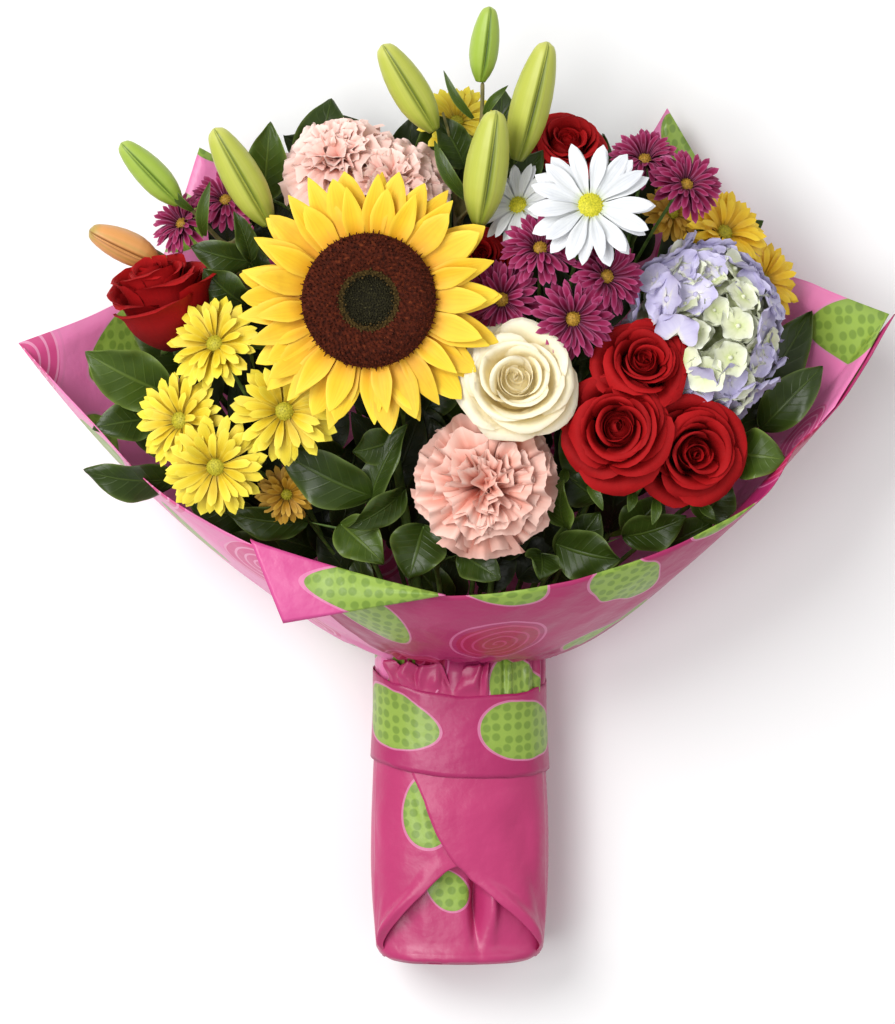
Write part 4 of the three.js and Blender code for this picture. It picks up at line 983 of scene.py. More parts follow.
# How much taller, or wider, than its solid a rose stands
ROSE_TALL = {"rose_red_left": 1.35}
ROSE_GROWTH = {"rose_cream": 1.06, "rose_red_right": 1.08, "rose_red_left": 1.06, "rose_red_back": 0.92}
CARNATIONS = [
    ("carnation_front", (14, 134, 160), (0, -0.12, 1), 38, BLUSH_CARNATION),
    ("carnation_back_left", (-72, 326, 112), (-0.3, 0.6, 0.7), 32, PALE_CARNATION),
    ("carnation_back_right", (-34, 312, 122), (0.1, 0.5, 0.8), 31, PALE_CARNATION),
]
DAISIES = [
    ("daisy_white_front", (70, 289, 152), (0.05, 0.3, 0.95), 34),
    ("daisy_white_back", (31, 288, 126), (-0.3, 0.45, 0.8), 24),
]
SUNFLOWER_AT = (-49, 238, 166)
SUNFLOWER_FACE = (0, 0.03, 1)
SUNFLOWER_R = 69
SUNFLOWER_DISC = 36
HYDRANGEA_AT = (140, 224, 112)
HYDRANGEA_FACE = (0.35, 0.15, 0.9)
HYDRANGEA_RADII = (40, 52, 34)
MUMS = {
    "mum_purple_front": (PURPLE_RAY, DISC_OCHRE, [
        ((43, 266, 144), (-0.05, 0.5, 0.85), 22),
        ((22, 237, 140), (-0.2, 0.05, 1), 22),
        ((80, 250, 142), (0.4, 0.25, 0.85), 22),
        ((61, 227, 150), (0.1, 0, 1), 23),
    ]),
    "mum_purple_back": (PURPLE_RAY, DISC_OCHRE, [
        ((124, 301, 116), (0.3, 0.45, 0.8), 21),
        ((101, 318, 104), (0, 0.65, 0.7), 20),
    ]),
    "mum_purple_left": (PURPLE_RAY, DISC_OCHRE, [
        ((-154, 280, 92), (-0.45, 0.5, 0.7), 19),
        ((-128, 296, 92), (0, 0.55, 0.8), 19),
    ]),
    "mum_yellow_front": (YELLOW_RAY, DISC_OLIVE, [
        ((-134, 214, 138), (-0.3, 0.4, 0.85), 26),
        ((-160, 174, 132), (-0.5, 0.15, 0.85), 27),
        ((-133, 146, 142), (-0.1, -0.1, 1), 28),
        ((-95, 177, 148), (0.05, 0.05, 1), 29),
    ]),
    "mum_yellow_right": (GOLD_RAY, DISC_OLIVE, [
        ((153, 278, 84), (0.35, 0.5, 0.75), 25),
        ((177, 248, 74), (0.6, 0.3, 0.7), 24),
    ]),
    "mum_yellow_top": (YELLOW_RAY, DISC_OLIVE, [((-4, 340, 94), (0, 0.5, 0.8), 22)]),
    "mum_bronze_back": (BRONZE_RAY, DISC_OLIVE, [((118, 282, 84), (0.2, 0.3, 0.9), 17)]),
    "mum_bronze_front": (BRONZE_RAY, DISC_OLIVE, [((-95, 128, 116), (0.1, -0.2, 1), 17)]),
}
# How far a bloom's middle is set from its solid's, in mm, to sit where the photo shows it
NUDGES = {
    "rose_red_front": (-3, 5, 0),
    "rose_red_upper": (0, -5, 3),
    "rose_red_right": (-6, 2, 0),
    "rose_red_left": (-2, 6, 1),
    "rose_red_back": (-3, -8, 0),
    "carnation_back_left": (0, -6, 0),
    "carnation_back_right": (-2, -6, 0),
    "mum_purple_back": ((0, -2, 0), (0, -5, 0)),
    "mum_purple_left": ((0, -3, 0), (-1, -6, 0)),
    "mum_yellow_front": ((0, 0, 0), (6, -3, 1), (0, 0, 3), (0, 0, 0)),
    "mum_yellow_right": ((-6, -6, 0), (-7, -4, 2)),
    "mum_yellow_top": ((2, -7, 0),),
    "hydrangea": (-6, -6, -2),
}


def nudged(at, name, number=None):
    shift = NUDGES.get(name, (0, 0, 0))
    if number is not None and name in NUDGES:
        shift = shift[number]
    return tuple(Vector(at) + Vector(shift))


def cad_copy(node, name, finish, drop=()):
    """A smooth copy of a CAD node, without the parts that lie inside the regions to drop."""
    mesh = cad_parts[node].data.copy()
    obj = bpy.data.objects.new(name, mesh)
    bpy.context.scene.collection.objects.link(obj)
    bm = bmesh.new()
    bm.from_mesh(mesh)
    bmesh.ops.remove_doubles(bm, verts=bm.verts, dist=0.05 * MM)
    gone = [v for v in bm.verts if any(inside(v.co) for inside in drop)]
    bmesh.ops.delete(bm, geom=gone, context="VERTS")
    open_edges = [e for e in bm.edges if e.is_boundary]
    if open_edges:
        bmesh.ops.holes_fill(bm, edges=open_edges, sides=0)
    bm.to_mesh(mesh)
    bm.free()
    mesh.shade_smooth()
    return painted(modified(obj, "SUBSURF", levels=1, render_levels=1), finish)


# Rows of petals, outermost first. For a rose: shapes, number, height of the foot, tilts, widths, heights and
# looseness.
ROSE_ROWS = (
    (ROSE_OUTER, 8, 0.0, (0.0, -0.1), (0.82, 1.0), (1.0, 0.84), 0.12),
    (ROSE_MIDDLE, 11, 0.04, (0.02, 0.0), (0.4, 0.76), (1.14, 1.05), 0.09),
    (ROSE_INNER, 10, 0.08, (0.03, 0.02), (0.07, 0.33), (1.08, 1.14), 0.05),
)
ROSE_HEART = ((0.3, 0.1), (0.4, 0.5), (0.3, 0.86), (0.12, 0.98), (0.03, 1.0))
# The others: number, tilt, size, height
CARNATION_ROWS = ((8, 0.08, 1.06, 0.08), (7, 0.32, 0.95, 0.13), (6, 0.62, 0.82, 0.16))
DAISY_ROWS = ((14, 0.0, 0.085, 0.6), (13, 0.14, 0.081, 1.8))
MUM_ROWS = ((23, 0.02, 0.084, 0.4), (21, 0.26, 0.077, 1.6), (17, 0.58, 0.06, 2.4))
YELLOW_MUM_ROWS = ((20, 0.04, 0.085, 0.4), (18, 0.22, 0.078, 1.6), (14, 0.5, 0.062, 2.4))
SUN_ROWS = ((21, 0.0, 0.0605, 0.4), (20, 0.08, 0.057, 1.6), (17, 0.2, 0.048, 2.8))


def rose(name, at, face, r, finish, number):
    tall = ROSE_TALL.get(name, 1.0)
    place = facing(back(nudged(at, name), face, 0.95 * r * tall), face, 0.7 * number)
    unit = ROSE_GROWTH.get(name, 1.0) * r / 10
    layers = []
    for group, petals, low, tilt, widths, heights, loose in ROSE_ROWS:
        if tall > 1 and group is ROSE_OUTER:
            group = ROSE_MIDDLE
        size, depth = [width * unit for width in widths], [height * unit * tall for height in heights]
        layers.append(whorl(
            place, group, finish, petals, (0.0, 0.0), (low * r, 0.0), tilt, size, depth,
            loose=loose, seed=20 + 3 * number + petals, spacing=0.9,
        ))
    heart = lathe("rose_heart", [(radius * r, height * r * tall) for radius, height in ROSE_HEART], 24)
    bloom = join(f"{name}_bloom", [*layers, set_in(heart, place, finish)])
    finish_piece(bloom, [f"{name}_petals"], "rose_cream" if "cream" in name else "rose_red")


def carnation(name, at, face, r, finish, number):
    place = facing(back(nudged(at, name), face, 0.75 * r), face, 0.7 * number)
    unit = 0.95 * r / 10
    seed = 60 + 10 * number
    fans = [
        row(place, CARNATION_FANS, finish, n, 0.05 * r, high * r, tilt, size * unit, 0.2, seed + n)
        for n, tilt, size, high in CARNATION_ROWS
    ]
    heart = whorl(
        place, CARNATION_PETALS, finish, 17, (0.0, 0.14 * r), (0.1 * r, 0.16 * r), (1.5, 0.95),
        (0.7 * unit, 0.74 * unit), loose=0.28, seed=60 + number, spacing=0.8,
    )
    finish_piece(join(f"{name}_bloom", [*fans, heart]), [f"{name}_petals"], "carnation_blush")


EYE_HEIGHT = 4.2
EYE_DOME = ((0.92, -1.5), (1.0, 0.4), (0.8, 0.6 * EYE_HEIGHT), (0.4, 0.92 * EYE_HEIGHT), (0.05, EYE_HEIGHT))


def eye(place, radius, finish, seed, florets):
    """The domed eye of a daisy: a low dome with florets packed over it."""
    dome = set_in(lathe("dome", [(share * radius, height) for share, height in EYE_DOME], 20), place, finish)
    pegs = grown(
        SEED_HEAD, place, DISC_PEGS, finish, Copies=florets, Outer_radius=0.98 * radius, Rim_height=0.4,
        Crown_height=EYE_HEIGHT - 0.2, Lean=0.9, First_size=0.6, Last_size=1.0, Looseness=0.12, Seed=seed,
    )
    return [dome, pegs]


def daisy(name, at, face, r, number):
    place = facing(back(at, face, 0.12 * r), face, 0.7 * number)
    rays = [
        row(place, DAISY_PETALS, WHITE_RAY, n, 0.18 * r, high, tilt, size * r, 0.1, 80 + number + n)
        for n, tilt, size, high in DAISY_ROWS
    ]
    bloom = join(f"{name}_bloom", rays + eye(place, 0.23 * r, DISC_LEMON, number, 130))
    finish_piece(bloom, [f"{name}_rays"], "daisy_white")


def cup(place, radius, depth, finish):
    """The small green cup of bracts under a chrysanthemum."""

    def wave(angle, k):
        return 1 + 0.06 * math.cos(10 * angle)

    outline = [(1.1, -depth), (0.55 * radius, -0.72 * depth), (radius, -0.3 * depth), (0.9 * radius, 0.4)]
    return set_in(lathe("bract_cup", outline, 20, wave), place, finish)


def spray(name, rays, disc, blooms, number):
    """A spray of chrysanthemums on the stem and branches of the CAD node."""
    petals = PURPLE_PETALS if "purple" in name else MUM_PETALS
    parts, drop = [], []
    for i, (at, face, r) in enumerate(blooms):
        inverse = facing(back(at, face, 4), face, 0.5 * i).inverted()
        place = facing(back(nudged(at, name, i), face, 4), face, 0.5 * i)
        seed = 100 + 10 * number + i
        for n, tilt, size, high in YELLOW_MUM_ROWS if "yellow" in name else MUM_ROWS:
            parts.append(row(place, petals, rays, n, 0.17 * r, high, tilt, size * r, 0.17, seed + 7 * n))
        parts += eye(place, 0.205 * r, disc, seed, 60)
        parts.append(cup(place, 0.26 * r, 8.5, SEPAL_GREEN))

        def inside(point, inverse=inverse, r=r):
            local = inverse @ point
            return -6.5 * MM < local.z < 16 * MM and math.hypot(local.x, local.y) < 1.25 * r * MM

        drop.append(inside)
    stem = cad_copy(name, f"{name}_stems", STALK, drop)
    finish_piece(join(f"{name}_spray", [*parts, stem]), [name], name.rsplit("_", 1)[0])


# The sunflower's disc: its outline, its materials from the middle outwards and its florets
SEED_BED_BASE = 4.75
SEED_BED = ((0.86, 0), (1, 2.8), (0.93, 5.4), (0.76, 6.8), (0.56, 6.2), (0.45, 5.2), (0.38, 4.3), (0.05, 3.6))
DARK_TO, GOLD_TO = 0.38, 0.46
# Shapes, finish, number, inner and outer radius, lean, crown and rim height, crown place, looseness, seed and
# sizes
SEED_RINGS = (
    (SUN_PEGS, SEED_MAROON, 640, 0.47, 0.975, 0.4, 6.4, 2.4, 0.72, 0.35, 3, 0.75, 0.85),
    (SUN_BUTTONS, SEED_GOLD, 150, 0.34, 0.47, 0.2, 5.9, 5.6, 0, 0.3, 4, 0.8, 0.9),
    (SUN_BUTTONS, SEED_DARK, 300, 0, 0.37, -0.15, 3.5, 4.6, 0, 0.25, 5, 0.65, 0.85),
    (SUN_FRINGE, SEED_MAROON, 180, 0.88, 0.94, 1.15, 4.6, 2.6, 0, 0.4, 7, 0.8, 1.0),
)


def sunflower():
    place = facing(back(SUNFLOWER_AT, SUNFLOWER_FACE, 7), SUNFLOWER_FACE)
    r, disc, base = SUNFLOWER_R, SUNFLOWER_DISC, SEED_BED_BASE
    rays = [
        row(place, SUN_PETALS, SUN_RAY, n, 0.43 * r, high, tilt, size * r, 0.09, seed)
        for (n, tilt, size, high), seed in zip(SUN_ROWS, (5, 6, 8))
    ]
    finish_piece(join("sunflower_ray_petals", rays), ["sunflower_rays"], "sunflower_rays")
    bed = lathe("seed_bed", [(share * disc, base + height) for share, height in SEED_BED], 64)
    set_in(bed, place, SEED_MAROON)
    bed.data.materials.append(SEED_GOLD)
    bed.data.materials.append(SEED_DARK)
    centre_of = place.inverted()
    for face in bed.data.polygons:
        spot = centre_of @ face.center
        share = math.hypot(spot.x, spot.y) / (disc * MM)
        face.material_index = 2 if share < DARK_TO else 1 if share < GOLD_TO else 0
    florets = [
        grown(
            SEED_HEAD, place, group, finish, Copies=n, Inner_radius=inner * disc, Outer_radius=outer * disc,
            Lean=lean, Crown_height=base + crown, Rim_height=base + rim, Crown_place=crown_place,
            Looseness=loose, Seed=seed, First_size=first, Last_size=last,
        )
        for group, finish, n, inner, outer, lean, crown, rim, crown_place, loose, seed, first, last
        in SEED_RINGS
    ]
    finish_piece(join("sunflower_seed_head", [bed, *florets]), ["sunflower_disc"], "sunflower_disc")


def clear_of_roses(obj):
    """Takes out the loose sepals whose middle lies inside one of the red roses beside the head."""
    bowls = [
        (Vector(back(nudged(at, name), face, 0.35 * r)), r)
        for name, at, face, r, _ in ROSES
        if "red" in name
    ]
    bm = bmesh.new()
    bm.from_mesh(obj.data)
    unseen = set(bm.verts)
    buried = []
    while unseen:
        island, edge = [], [unseen.pop()]
        while edge:
            vert = edge.pop()
            island.append(vert)
            for link in vert.link_edges:
                other = link.other_vert(vert)
                if other in unseen:
                    unseen.remove(other)
                    edge.append(other)
        middle = sum((vert.co for vert in island), Vector()) / len(island) / MM
        if any((middle - bowl).length < 1.03 * r for bowl, r in bowls):
            buried += island
    bmesh.ops.delete(bm, geom=buried, context="VERTS")
    bm.to_mesh(obj.data)
    bm.free()
    return obj


# Shapes, finish, number, how far inside the head's radii, size, seed, reach from its crown down, unevenness
HYDRANGEA_LAYERS = (
    (BLUE_FLORETS, FLORET_BLUE, 48, (0, 7, 2), 1.3, 3, 0.86, -0.5, 2.5),
    (CREAM_FLORETS, FLORET_CREAM, 15, (3, 4, 3), 1.05, 8, 1.0, 0.62, 2.0),
    (CREAM_FLORETS, FLORET_CREAM, 56, (9, 9, 7), 1.25, 5, 0.99, -0.4, 2.0),
)


def hydrangea():
    place = facing(nudged(HYDRANGEA_AT, "hydrangea"), HYDRANGEA_FACE)
    a, b, c = HYDRANGEA_RADII
    layers = [
        grown(
            MOPHEAD, place, group, finish, Copies=n, Half_width=a - inside[0], Half_height=b - inside[1],
            Half_depth=c - inside[2], Size=size, Seed=seed, From=start, To=end, Unevenness=uneven,
        )
        for group, finish, n, inside, size, seed, start, end, uneven in HYDRANGEA_LAYERS
    ]
    core = lathe("flower_core", [(8, -c + 12), (a - 16, -8), (a - 15, 4), (a - 22, c - 19), (4, c - 16)], 24)
    core.data.transform(Matrix.Diagonal((1, b / a, 1, 1)))
    bloom = clear_of_roses(join("hydrangea_bloom", [*layers, set_in(core, place, HEAD_GREEN)]))
    finish_piece(bloom, ["hydrangea_florets"], "hydrangea_lilac")


for number, values in enumerate(ROSES):
    rose(*values, number)
for number, values in enumerate(CARNATIONS):
    carnation(*values, number)
for number, values in enumerate(DAISIES):
    daisy(*values, number)
sunflower()
hydrangea()
for number, (name, values) in enumerate(MUMS.items()):
    spray(name, *values, number)

# Stems that carry one bloom keep their CAD form, made smooth

for node in list(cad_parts):
    if node.endswith("_stem"):
        finish_piece(cad_copy(node, f"{node}_smooth", STALK), [node], "stem_green")

# Lily buds: base, tip and radius, as in the part's source

LILIES = [
    (
        "lily_top",
        "lily_bud_green",
        [
            ((12, 354, 112), (16, 398, 118), 8.8, BUD_YOUNG),
            ((31, 316, 122), (49, 381, 134), 12, BUD_GREEN),
            ((7, 286, 142), (20, 343, 152), 13, BUD_GREEN),
            ((-9, 338, 126), (-42, 382, 134), 11.5, BUD_GREEN),
        ],
    ),
    (
        "lily_left",
        "lily_bud_green",
        [
            ((-153, 291, 114), (-188, 325, 122), 9.5, BUD_YOUNG),
            ((-104, 283, 124), (-137, 334, 134), 12, BUD_GREEN),
        ],
    ),
    ("lily_orange_bud", "lily_bud_orange", [((-172, 264, 96), (-209, 280, 104), 10, BUD_ORANGE)]),
]
# How far each bud's base and tip lie from its solid's, across and along the bouquet, as the photo shows them
BUD_SHIFTS = {
    "lily_top": [((-1, 0), (0, -3.5)), ((0, -4), (-2, -5.5)), ((3, -8), (-1, -4)), ((-5, -10), (0, -8))],
    "lily_left": [((0, -3), (4, -4)), ((0, -6), (4, -5))],
    "lily_orange_bud": [((6, -9), (6, -7))],
}
BUD_GIRTH = [
    (0.0, 0.34), (0.04, 0.46), (0.1, 0.64), (0.2, 0.84), (0.32, 0.97), (0.42, 1.0), (0.56, 0.98), (0.7, 0.89),
    (0.82, 0.75), (0.91, 0.6), (0.96, 0.47), (0.988, 0.3), (1.0, 0.1),
]


def bud(name, base, tip, radius, finish):
    """A closed bud of three broad tepals, one seam of them towards the front, with a groove at each seam."""
    way = Vector(tip) - Vector(base)
    steps = 34

    def wave(angle, k):
        seam = abs(math.sin(1.5 * angle))
        ends = math.sin(math.pi * min(1, 0.12 + 0.85 * k))
        groove = 0.26 * bell(seam, 0.13) - 0.07 * bell(seam - 0.34, 0.16)
        return 1 - groove * ends

    rows = [
        (0.88 * radius * profile_at(BUD_GIRTH, k / steps), way.length * k / steps) for k in range(steps + 1)
    ]
    return set_in(lathe(name, rows, 60, wave), facing(base, way, 0.15 - math.pi / 2), finish)


# Narrow leaves below the buds: base, tip and width

BRACTS = {
    "lily_top": [
        ((7, 334, 112), (-9, 360, 116), 5),
        ((13, 336, 112), (26, 352, 118), 5),
        ((20, 300, 118), (30, 330, 112), 9),
        ((4, 290, 118), (-14, 322, 116), 8),
    ],
    "lily_left": [((-140, 270, 108), (-136, 300, 120), 7), ((-146, 284, 112), (-160, 300, 118), 5)],
}


def leaf_frame(base, tip, up):
    """Along a leaf from its base, across it and up from it, and its length."""
    way = Vector(tip) - Vector(base)
    x = way.normalized()
    z = (Vector(up) - x * Vector(up).dot(x)).normalized()
    return x, z.cross(x), z, way.length


def bract(name, base, tip, width, rows=12):
    """A narrow arched leaf or sepal."""
    x, y, z, length = leaf_frame(base, tip, (0, 0, 1))

    def surface(u, v):
        half = 0.5 * width * max(0.06, math.sin(math.pi * min(1, 0.1 + 0.9 * v)) ** 0.8)
        bend = 0.16 * length * math.sin(math.pi * v)
        rib = Vector(base) + x * (length * v)
        return rib + y * (half * u + 0.4 * bend) + z * (bend + 0.3 * half * abs(u))

    return painted(thin_blade(name, rows, 5, surface, 0.4), LEAF_LIGHT)


for node, slot, buds in LILIES:
    parts, drop = [], []
    for k, (base, tip, radius, finish) in enumerate(buds):
        shifts = BUD_SHIFTS[node][k]
        low, high = (Vector(end) + Vector((*shift, 0)) for end, shift in zip((base, tip), shifts))
        parts.append(bud(f"{node}_bud_{k}", low, high, radius, finish))
        way = Vector(tip) - Vector(base)
        inverse = facing(base, way).inverted()

        def inside(point, inverse=inverse, radius=radius, length=way.length):
            local = inverse @ point
            out = math.hypot(local.x, local.y)
            on_bud = out > 2 * MM or local.z > 4 * MM
            return on_bud and -0.5 * MM < local.z < (length + 2) * MM and out < (radius + 1.5) * MM

        drop.append(inside)
    if node in BRACTS:
        parts.append(cad_copy(node, f"{node}_stems", STALK_BROWN, drop))
        parts += [bract(f"{node}_bract_{k}", *values) for k, values in enumerate(BRACTS[node])]
    finish_piece(join(f"{node}_buds", parts), [node], slot)

# Leafy stems: each leaf from base to tip, its upper side and its width

LEAFY = {
    "salal_left": [
        ((-160, 182, 92), (-206, 206, 104), (0.2, -0.3, 1), 34),
        ((-168, 168, 90), (-202, 164, 104), (0.1, 0.3, 1), 24),
        ((-156, 136, 100), (-206, 142, 119), (0, -0.4, 1), 25),
        ((-140, 190, 70), (-186, 232, 66), (0, 0, 1), 30),
    ],
    "salal_front_left": [
        ((-48, 128, 122), (-99, 154, 122), (-0.1, -0.2, 1), 31),
        ((-50, 120, 118), (-28, 168, 124), (-0.6, 0, 0.8), 19),
        ((-30, 132, 118), (-62, 112, 132), (0.3, -0.4, 1), 19),
        ((-66, 112, 112), (-42, 92, 128), (0, 0.3, 1), 26),
        ((-84, 112, 100), (-128, 118, 112), (0, -0.3, 1), 22),
    ],
    "salal_front": [
        ((-20, 112, 120), (-28, 84, 132), (0, 0, 1), 32),
        ((0, 96, 118), (22, 84, 134), (0, 0.2, 1), 22),
    ],
    "salal_front_right": [
        ((52, 102, 118), (88, 94, 126), (0, -0.3, 1), 30),
        ((58, 110, 116), (56, 138, 132), (-0.6, 0, 0.8), 20),
        ((44, 96, 116), (44, 84, 132), (0.3, 0, 1), 22),
        ((90, 104, 102), (124, 116, 116), (0, -0.3, 1), 24),
    ],
    "salal_right": [
        ((148, 150, 108), (178, 148, 120), (-0.2, 0.3, 1), 29),
        ((166, 162, 92), (200, 198, 98), (-0.2, 0, 1), 25),
        ((150, 158, 84), (196, 226, 62), (0, 0, 1), 30),
    ],
    "salal_back": [
        ((-108, 288, 84), (-104, 332, 96), (0, 0, 1), 24),
        ((-20, 286, 78), (-14, 338, 84), (0.2, 0, 1), 24),
        ((-82, 296, 50), (-70, 352, 46), (0, 0, 1), 32),
    ],
    "salal_back_right": [
        ((32, 292, 66), (30, 344, 78), (-0.2, 0, 1), 26),
        ((84, 262, 44), (110, 318, 44), (0, 0, 1), 32),
        ((110, 240, 40), (170, 276, 50), (0, 0, 1), 32),
        ((20, 290, 44), (24, 350, 40), (0, 0, 1), 30),
    ],
}
# How much a leaf ends short of its solid's tip, in mm
SHORTER = {"salal_back_leaf_2": 8}


def leaf(name, base, tip, up, width, seed, finish, rows=40, columns=21):
    """An oval pointed leaf, arched along its rib, folded a little along it and waved at its edge."""
    x, y, z, length = leaf_frame(base, tip, up)
    length -= SHORTER.get(name, 0)

    def surface(u, v):
        half = 0.5 * width * (math.sin(math.pi * v ** 0.82) ** 0.72) * (1 - 0.25 * smooth((v - 0.8) / 0.2))
        half = max(half, 0.35 * (1 - v))
        rib = Vector(base) + x * (length * v) + z * (4 * 0.12 * length * v * (1 - v))
        fold = 0.2 * half * abs(u)
        edge = 2.2 * wobble(u * 2 + seed, v * 5, seed) + 0.08 * width * math.sin(10 * v + seed)
        slant = SIDE_VEINS * v - VEIN_SWEEP * abs(u)
        vein = -0.22 * bell(slant - round(slant), 0.12) * (1 - 0.8 * abs(u)) * min(1, 4 * abs(u))
        rib_groove = -0.5 * bell(u, 0.07) * (1 - v)
        return rib + y * (half * u) + z * (fold + edge * abs(u) ** 2 + vein + rib_groove)

    return painted(thin_blade(name, rows, columns, surface, 0.5), finish)


for number, (node, leaves) in enumerate(LEAFY.items()):
    parts, drop = [], []
    for k, (base, tip, up, width) in enumerate(leaves):
        is_young = (k + number) % 4 == 0 or (node, k) == ("salal_back", 0)
        finish = LEAF_LIGHT if is_young else LEAF
        parts.append(leaf(f"{node}_leaf_{k}", base, tip, up, width, 10 * number + k, finish))

        def inside(point, base=base, axes=leaf_frame(base, tip, up), width=width):
            x, y, z, length = axes
            local = point / MM - Vector(base)
            along, across, high = local.dot(x), local.dot(y), local.dot(z)
            if along < 0.13 * length and abs(across) < 1.7:
                return False
            on_blade = 0.012 * length < along < length + 1 and abs(across) < 0.6 * width
            return on_blade and -3 < high < 0.3 * width + 8

        drop.append(inside)
    parts.append(cad_copy(node, f"{node}_stems", STALK, drop))
    finish_piece(join(f"{node}_leafy_stem", parts), [node], "leaf_green")

# Single leaves and sepals that the photo shows between the blooms, and a seeded scatter low among the stems,
# where the collar would show through

SINGLE_LEAVES = [
    ((-114, 256, 110), (-147, 265, 118), (0.1, -0.3, 1), 20),
    ((-117, 232, 108), (-140, 253, 116), (-0.3, -0.2, 1), 24),
    ((-114, 256, 116), (-123, 284, 124), (0.4, 0, 1), 12),
    ((3, 307, 108), (-13, 336, 116), (0.3, 0, 1), 20),
    ((26, 283, 106), (45, 317, 114), (-0.3, 0, 1), 20),
    ((72, 136, 112), (56, 166, 120), (0, 0, 1), 22),
    ((77, 125, 108), (55, 142, 116), (0, -0.2, 1), 22),
    ((55, 91, 104), (77, 119, 112), (0, -0.2, 1), 26),
    ((-36, 159, 120), (-59, 153, 128), (0, -0.2, 1), 22),
    ((133, 113, 100), (148, 137, 108), (0, -0.2, 1), 26),
    ((92, 104, 92), (112, 126, 100), (0, -0.2, 1), 26),
    ((112, 98, 92), (140, 112, 98), (0, -0.2, 1), 24),
    ((120, 122, 90), (124, 150, 96), (0, -0.2, 1), 26),
    ((-100, 92, 84), (-134, 102, 92), (0, -0.2, 1), 22),
    ((-112, 110, 80), (-152, 124, 88), (0, -0.2, 1), 24),
    ((-150, 152, 82), (-184, 172, 88), (0, -0.2, 1), 28),
]
# Sepals that peep out under the red roses: base, tip and width
ROSE_SEPALS = [
    ((70, 134, 122), (78, 121, 128), 6),
    ((107, 127, 122), (105, 113, 128), 6),
    ((58, 143, 122), (52, 134, 128), 6),
    ((132, 122, 112), (140, 115, 118), 6),
    ((94, 131, 122), (92, 120, 128), 6),
]
FILLER_ROWS = range(80, 312, 21)


def filler_leaves():
    random.seed(41)
    parts = [
        leaf(f"single_leaf_{k}", *values, 60 + k, LEAF, 24, 11) for k, values in enumerate(SINGLE_LEAVES)
    ]
    parts += [bract(f"rose_sepal_{k}", *values, 10) for k, values in enumerate(ROSE_SEPALS)]
    for row_y in FILLER_ROWS:
        reach = 150 * math.sin(math.pi * min(1, (row_y - 40) / 330)) ** 0.7
        for column in range(-7, 8):
            x = column * 23 + random.uniform(-9, 9) + (11 if row_y % 2 else 0)
            if abs(x) > reach:
                continue
            y = row_y + random.uniform(-9, 9)
            edge = abs(x) / 175
            z = mix(58, 84, edge * edge) + random.uniform(-6, 12) - 26 * smooth((y - 220) / 90) * (1 - edge)
            angle = math.atan2(y - 20, x) + random.uniform(-0.9, 0.9)
            length = random.uniform(34, 46)
            way = Vector((math.cos(angle), math.sin(angle), random.uniform(-0.05, 0.35)))
            base = Vector((x, y, z)) - way * (0.5 * length)
            up = (random.uniform(-0.5, 0.5), random.uniform(-0.5, 0.3), 1)
            width = random.uniform(19, 26)
            number = len(parts)
            # Most scattered leaves take the darker copy of the leaf, painted shade low among the stems
            finish = LEAF_PAINTED_SHADE if random.random() < 0.85 else LEAF
            tip = base + way * length
            parts.append(leaf(f"filler_{number}", base, tip, up, width, number, finish, 18, 9))
    return join("filler_foliage", parts)


finish_piece(filler_leaves(), [], "leaf_green")

# Wrapper: the stations of the part's source, by angle round the neck, and two more on the back sheet's rim

GAP, PAPER = 0.35, 0.8
FOOT_Y, SLEEVE_TOP_Y, HEM_Y, NECK_Y = -145, -12, -11.65, 30
SLEEVE_HALF_WIDTH, SLEEVE_HALF_DEPTH = 47.5, 31
BAND_INSIDE = PAPER + 2 * GAP + 0.5
BAND_OUT = 1.75
SLEEVE_LIFT = BAND_INSIDE + PAPER
BACK_SHEET = [
    (117, (-98, 96, 133), (-52, 46, 99)),
    (128, (-135, 113, 125), (-72, 50, 93)),
    (140, (-172, 136, 115), (-95, 56, 83)),
    (152, (-208, 172, 102), (-125, 66, 69)),
    (165, (-244, 210, 90), (-150, 78, 52)),
    (180, (-200, 226, 52), (-146, 88, 28)),
    (200, (-172, 246, 28), (-118, 96, 9)),
    (215, (-147, 316, 20), (-90, 120, 2.4)),
    (232, (-95, 290, 4), (-62, 120, 0.8)),
    (250, (-46, 292, 0.5), (-36, 120, 0.5)),
    (270, (0, 298, 0.5), (0, 120, 0.5)),
    (290, (46, 300, 0.5), (36, 120, 0.5)),
    (308, (92, 304, 4), (62, 120, 0.8)),
    (325, (117, 338, 20), (86, 120, 2.4)),
    (340, (168, 258, 28), (106, 92, 10)),
    (354, (200, 240, 58), (104, 60, 30)),
    (366, (237, 226, 90), (97, 42, 48)),
    (374, (222, 201, 99), (94, 40, 58)),
    (382, (206, 176, 109), (91, 38, 70)),
]
FRONT_SHEET = [
    (8, (240, 226, 91), (98, 38, 52)),
    (22, (210, 180, 108), (94, 36, 72)),
    (35, (185, 156, 120), (84, 35, 88)),
    (46, (166, 130, 131), (70, 34, 101)),
    (57, (127, 108, 141), (55, 34, 110)),
    (68, (88, 93, 148), (38, 35, 116)),
    (80, (44, 82, 152), (18, 36, 119)),
    (92, (-5, 77, 153), (-3, 37, 120)),
    (104, (-50, 84, 152), (-24, 38, 118)),
    (116, (-90, 96, 149), (-44, 40, 113)),
    (125, (-114, 107, 145), (-58, 42, 108)),
]
SHARP = (165, 215, 325, 366)
CORNER_ALONG, CORNER_TIP = (-8, 78, 155), (-96, 62, 152)


def squared(share):
    """A sine or cosine, swollen so that an oval becomes a rounded oblong."""
    return math.copysign(abs(share) ** 0.8, share)


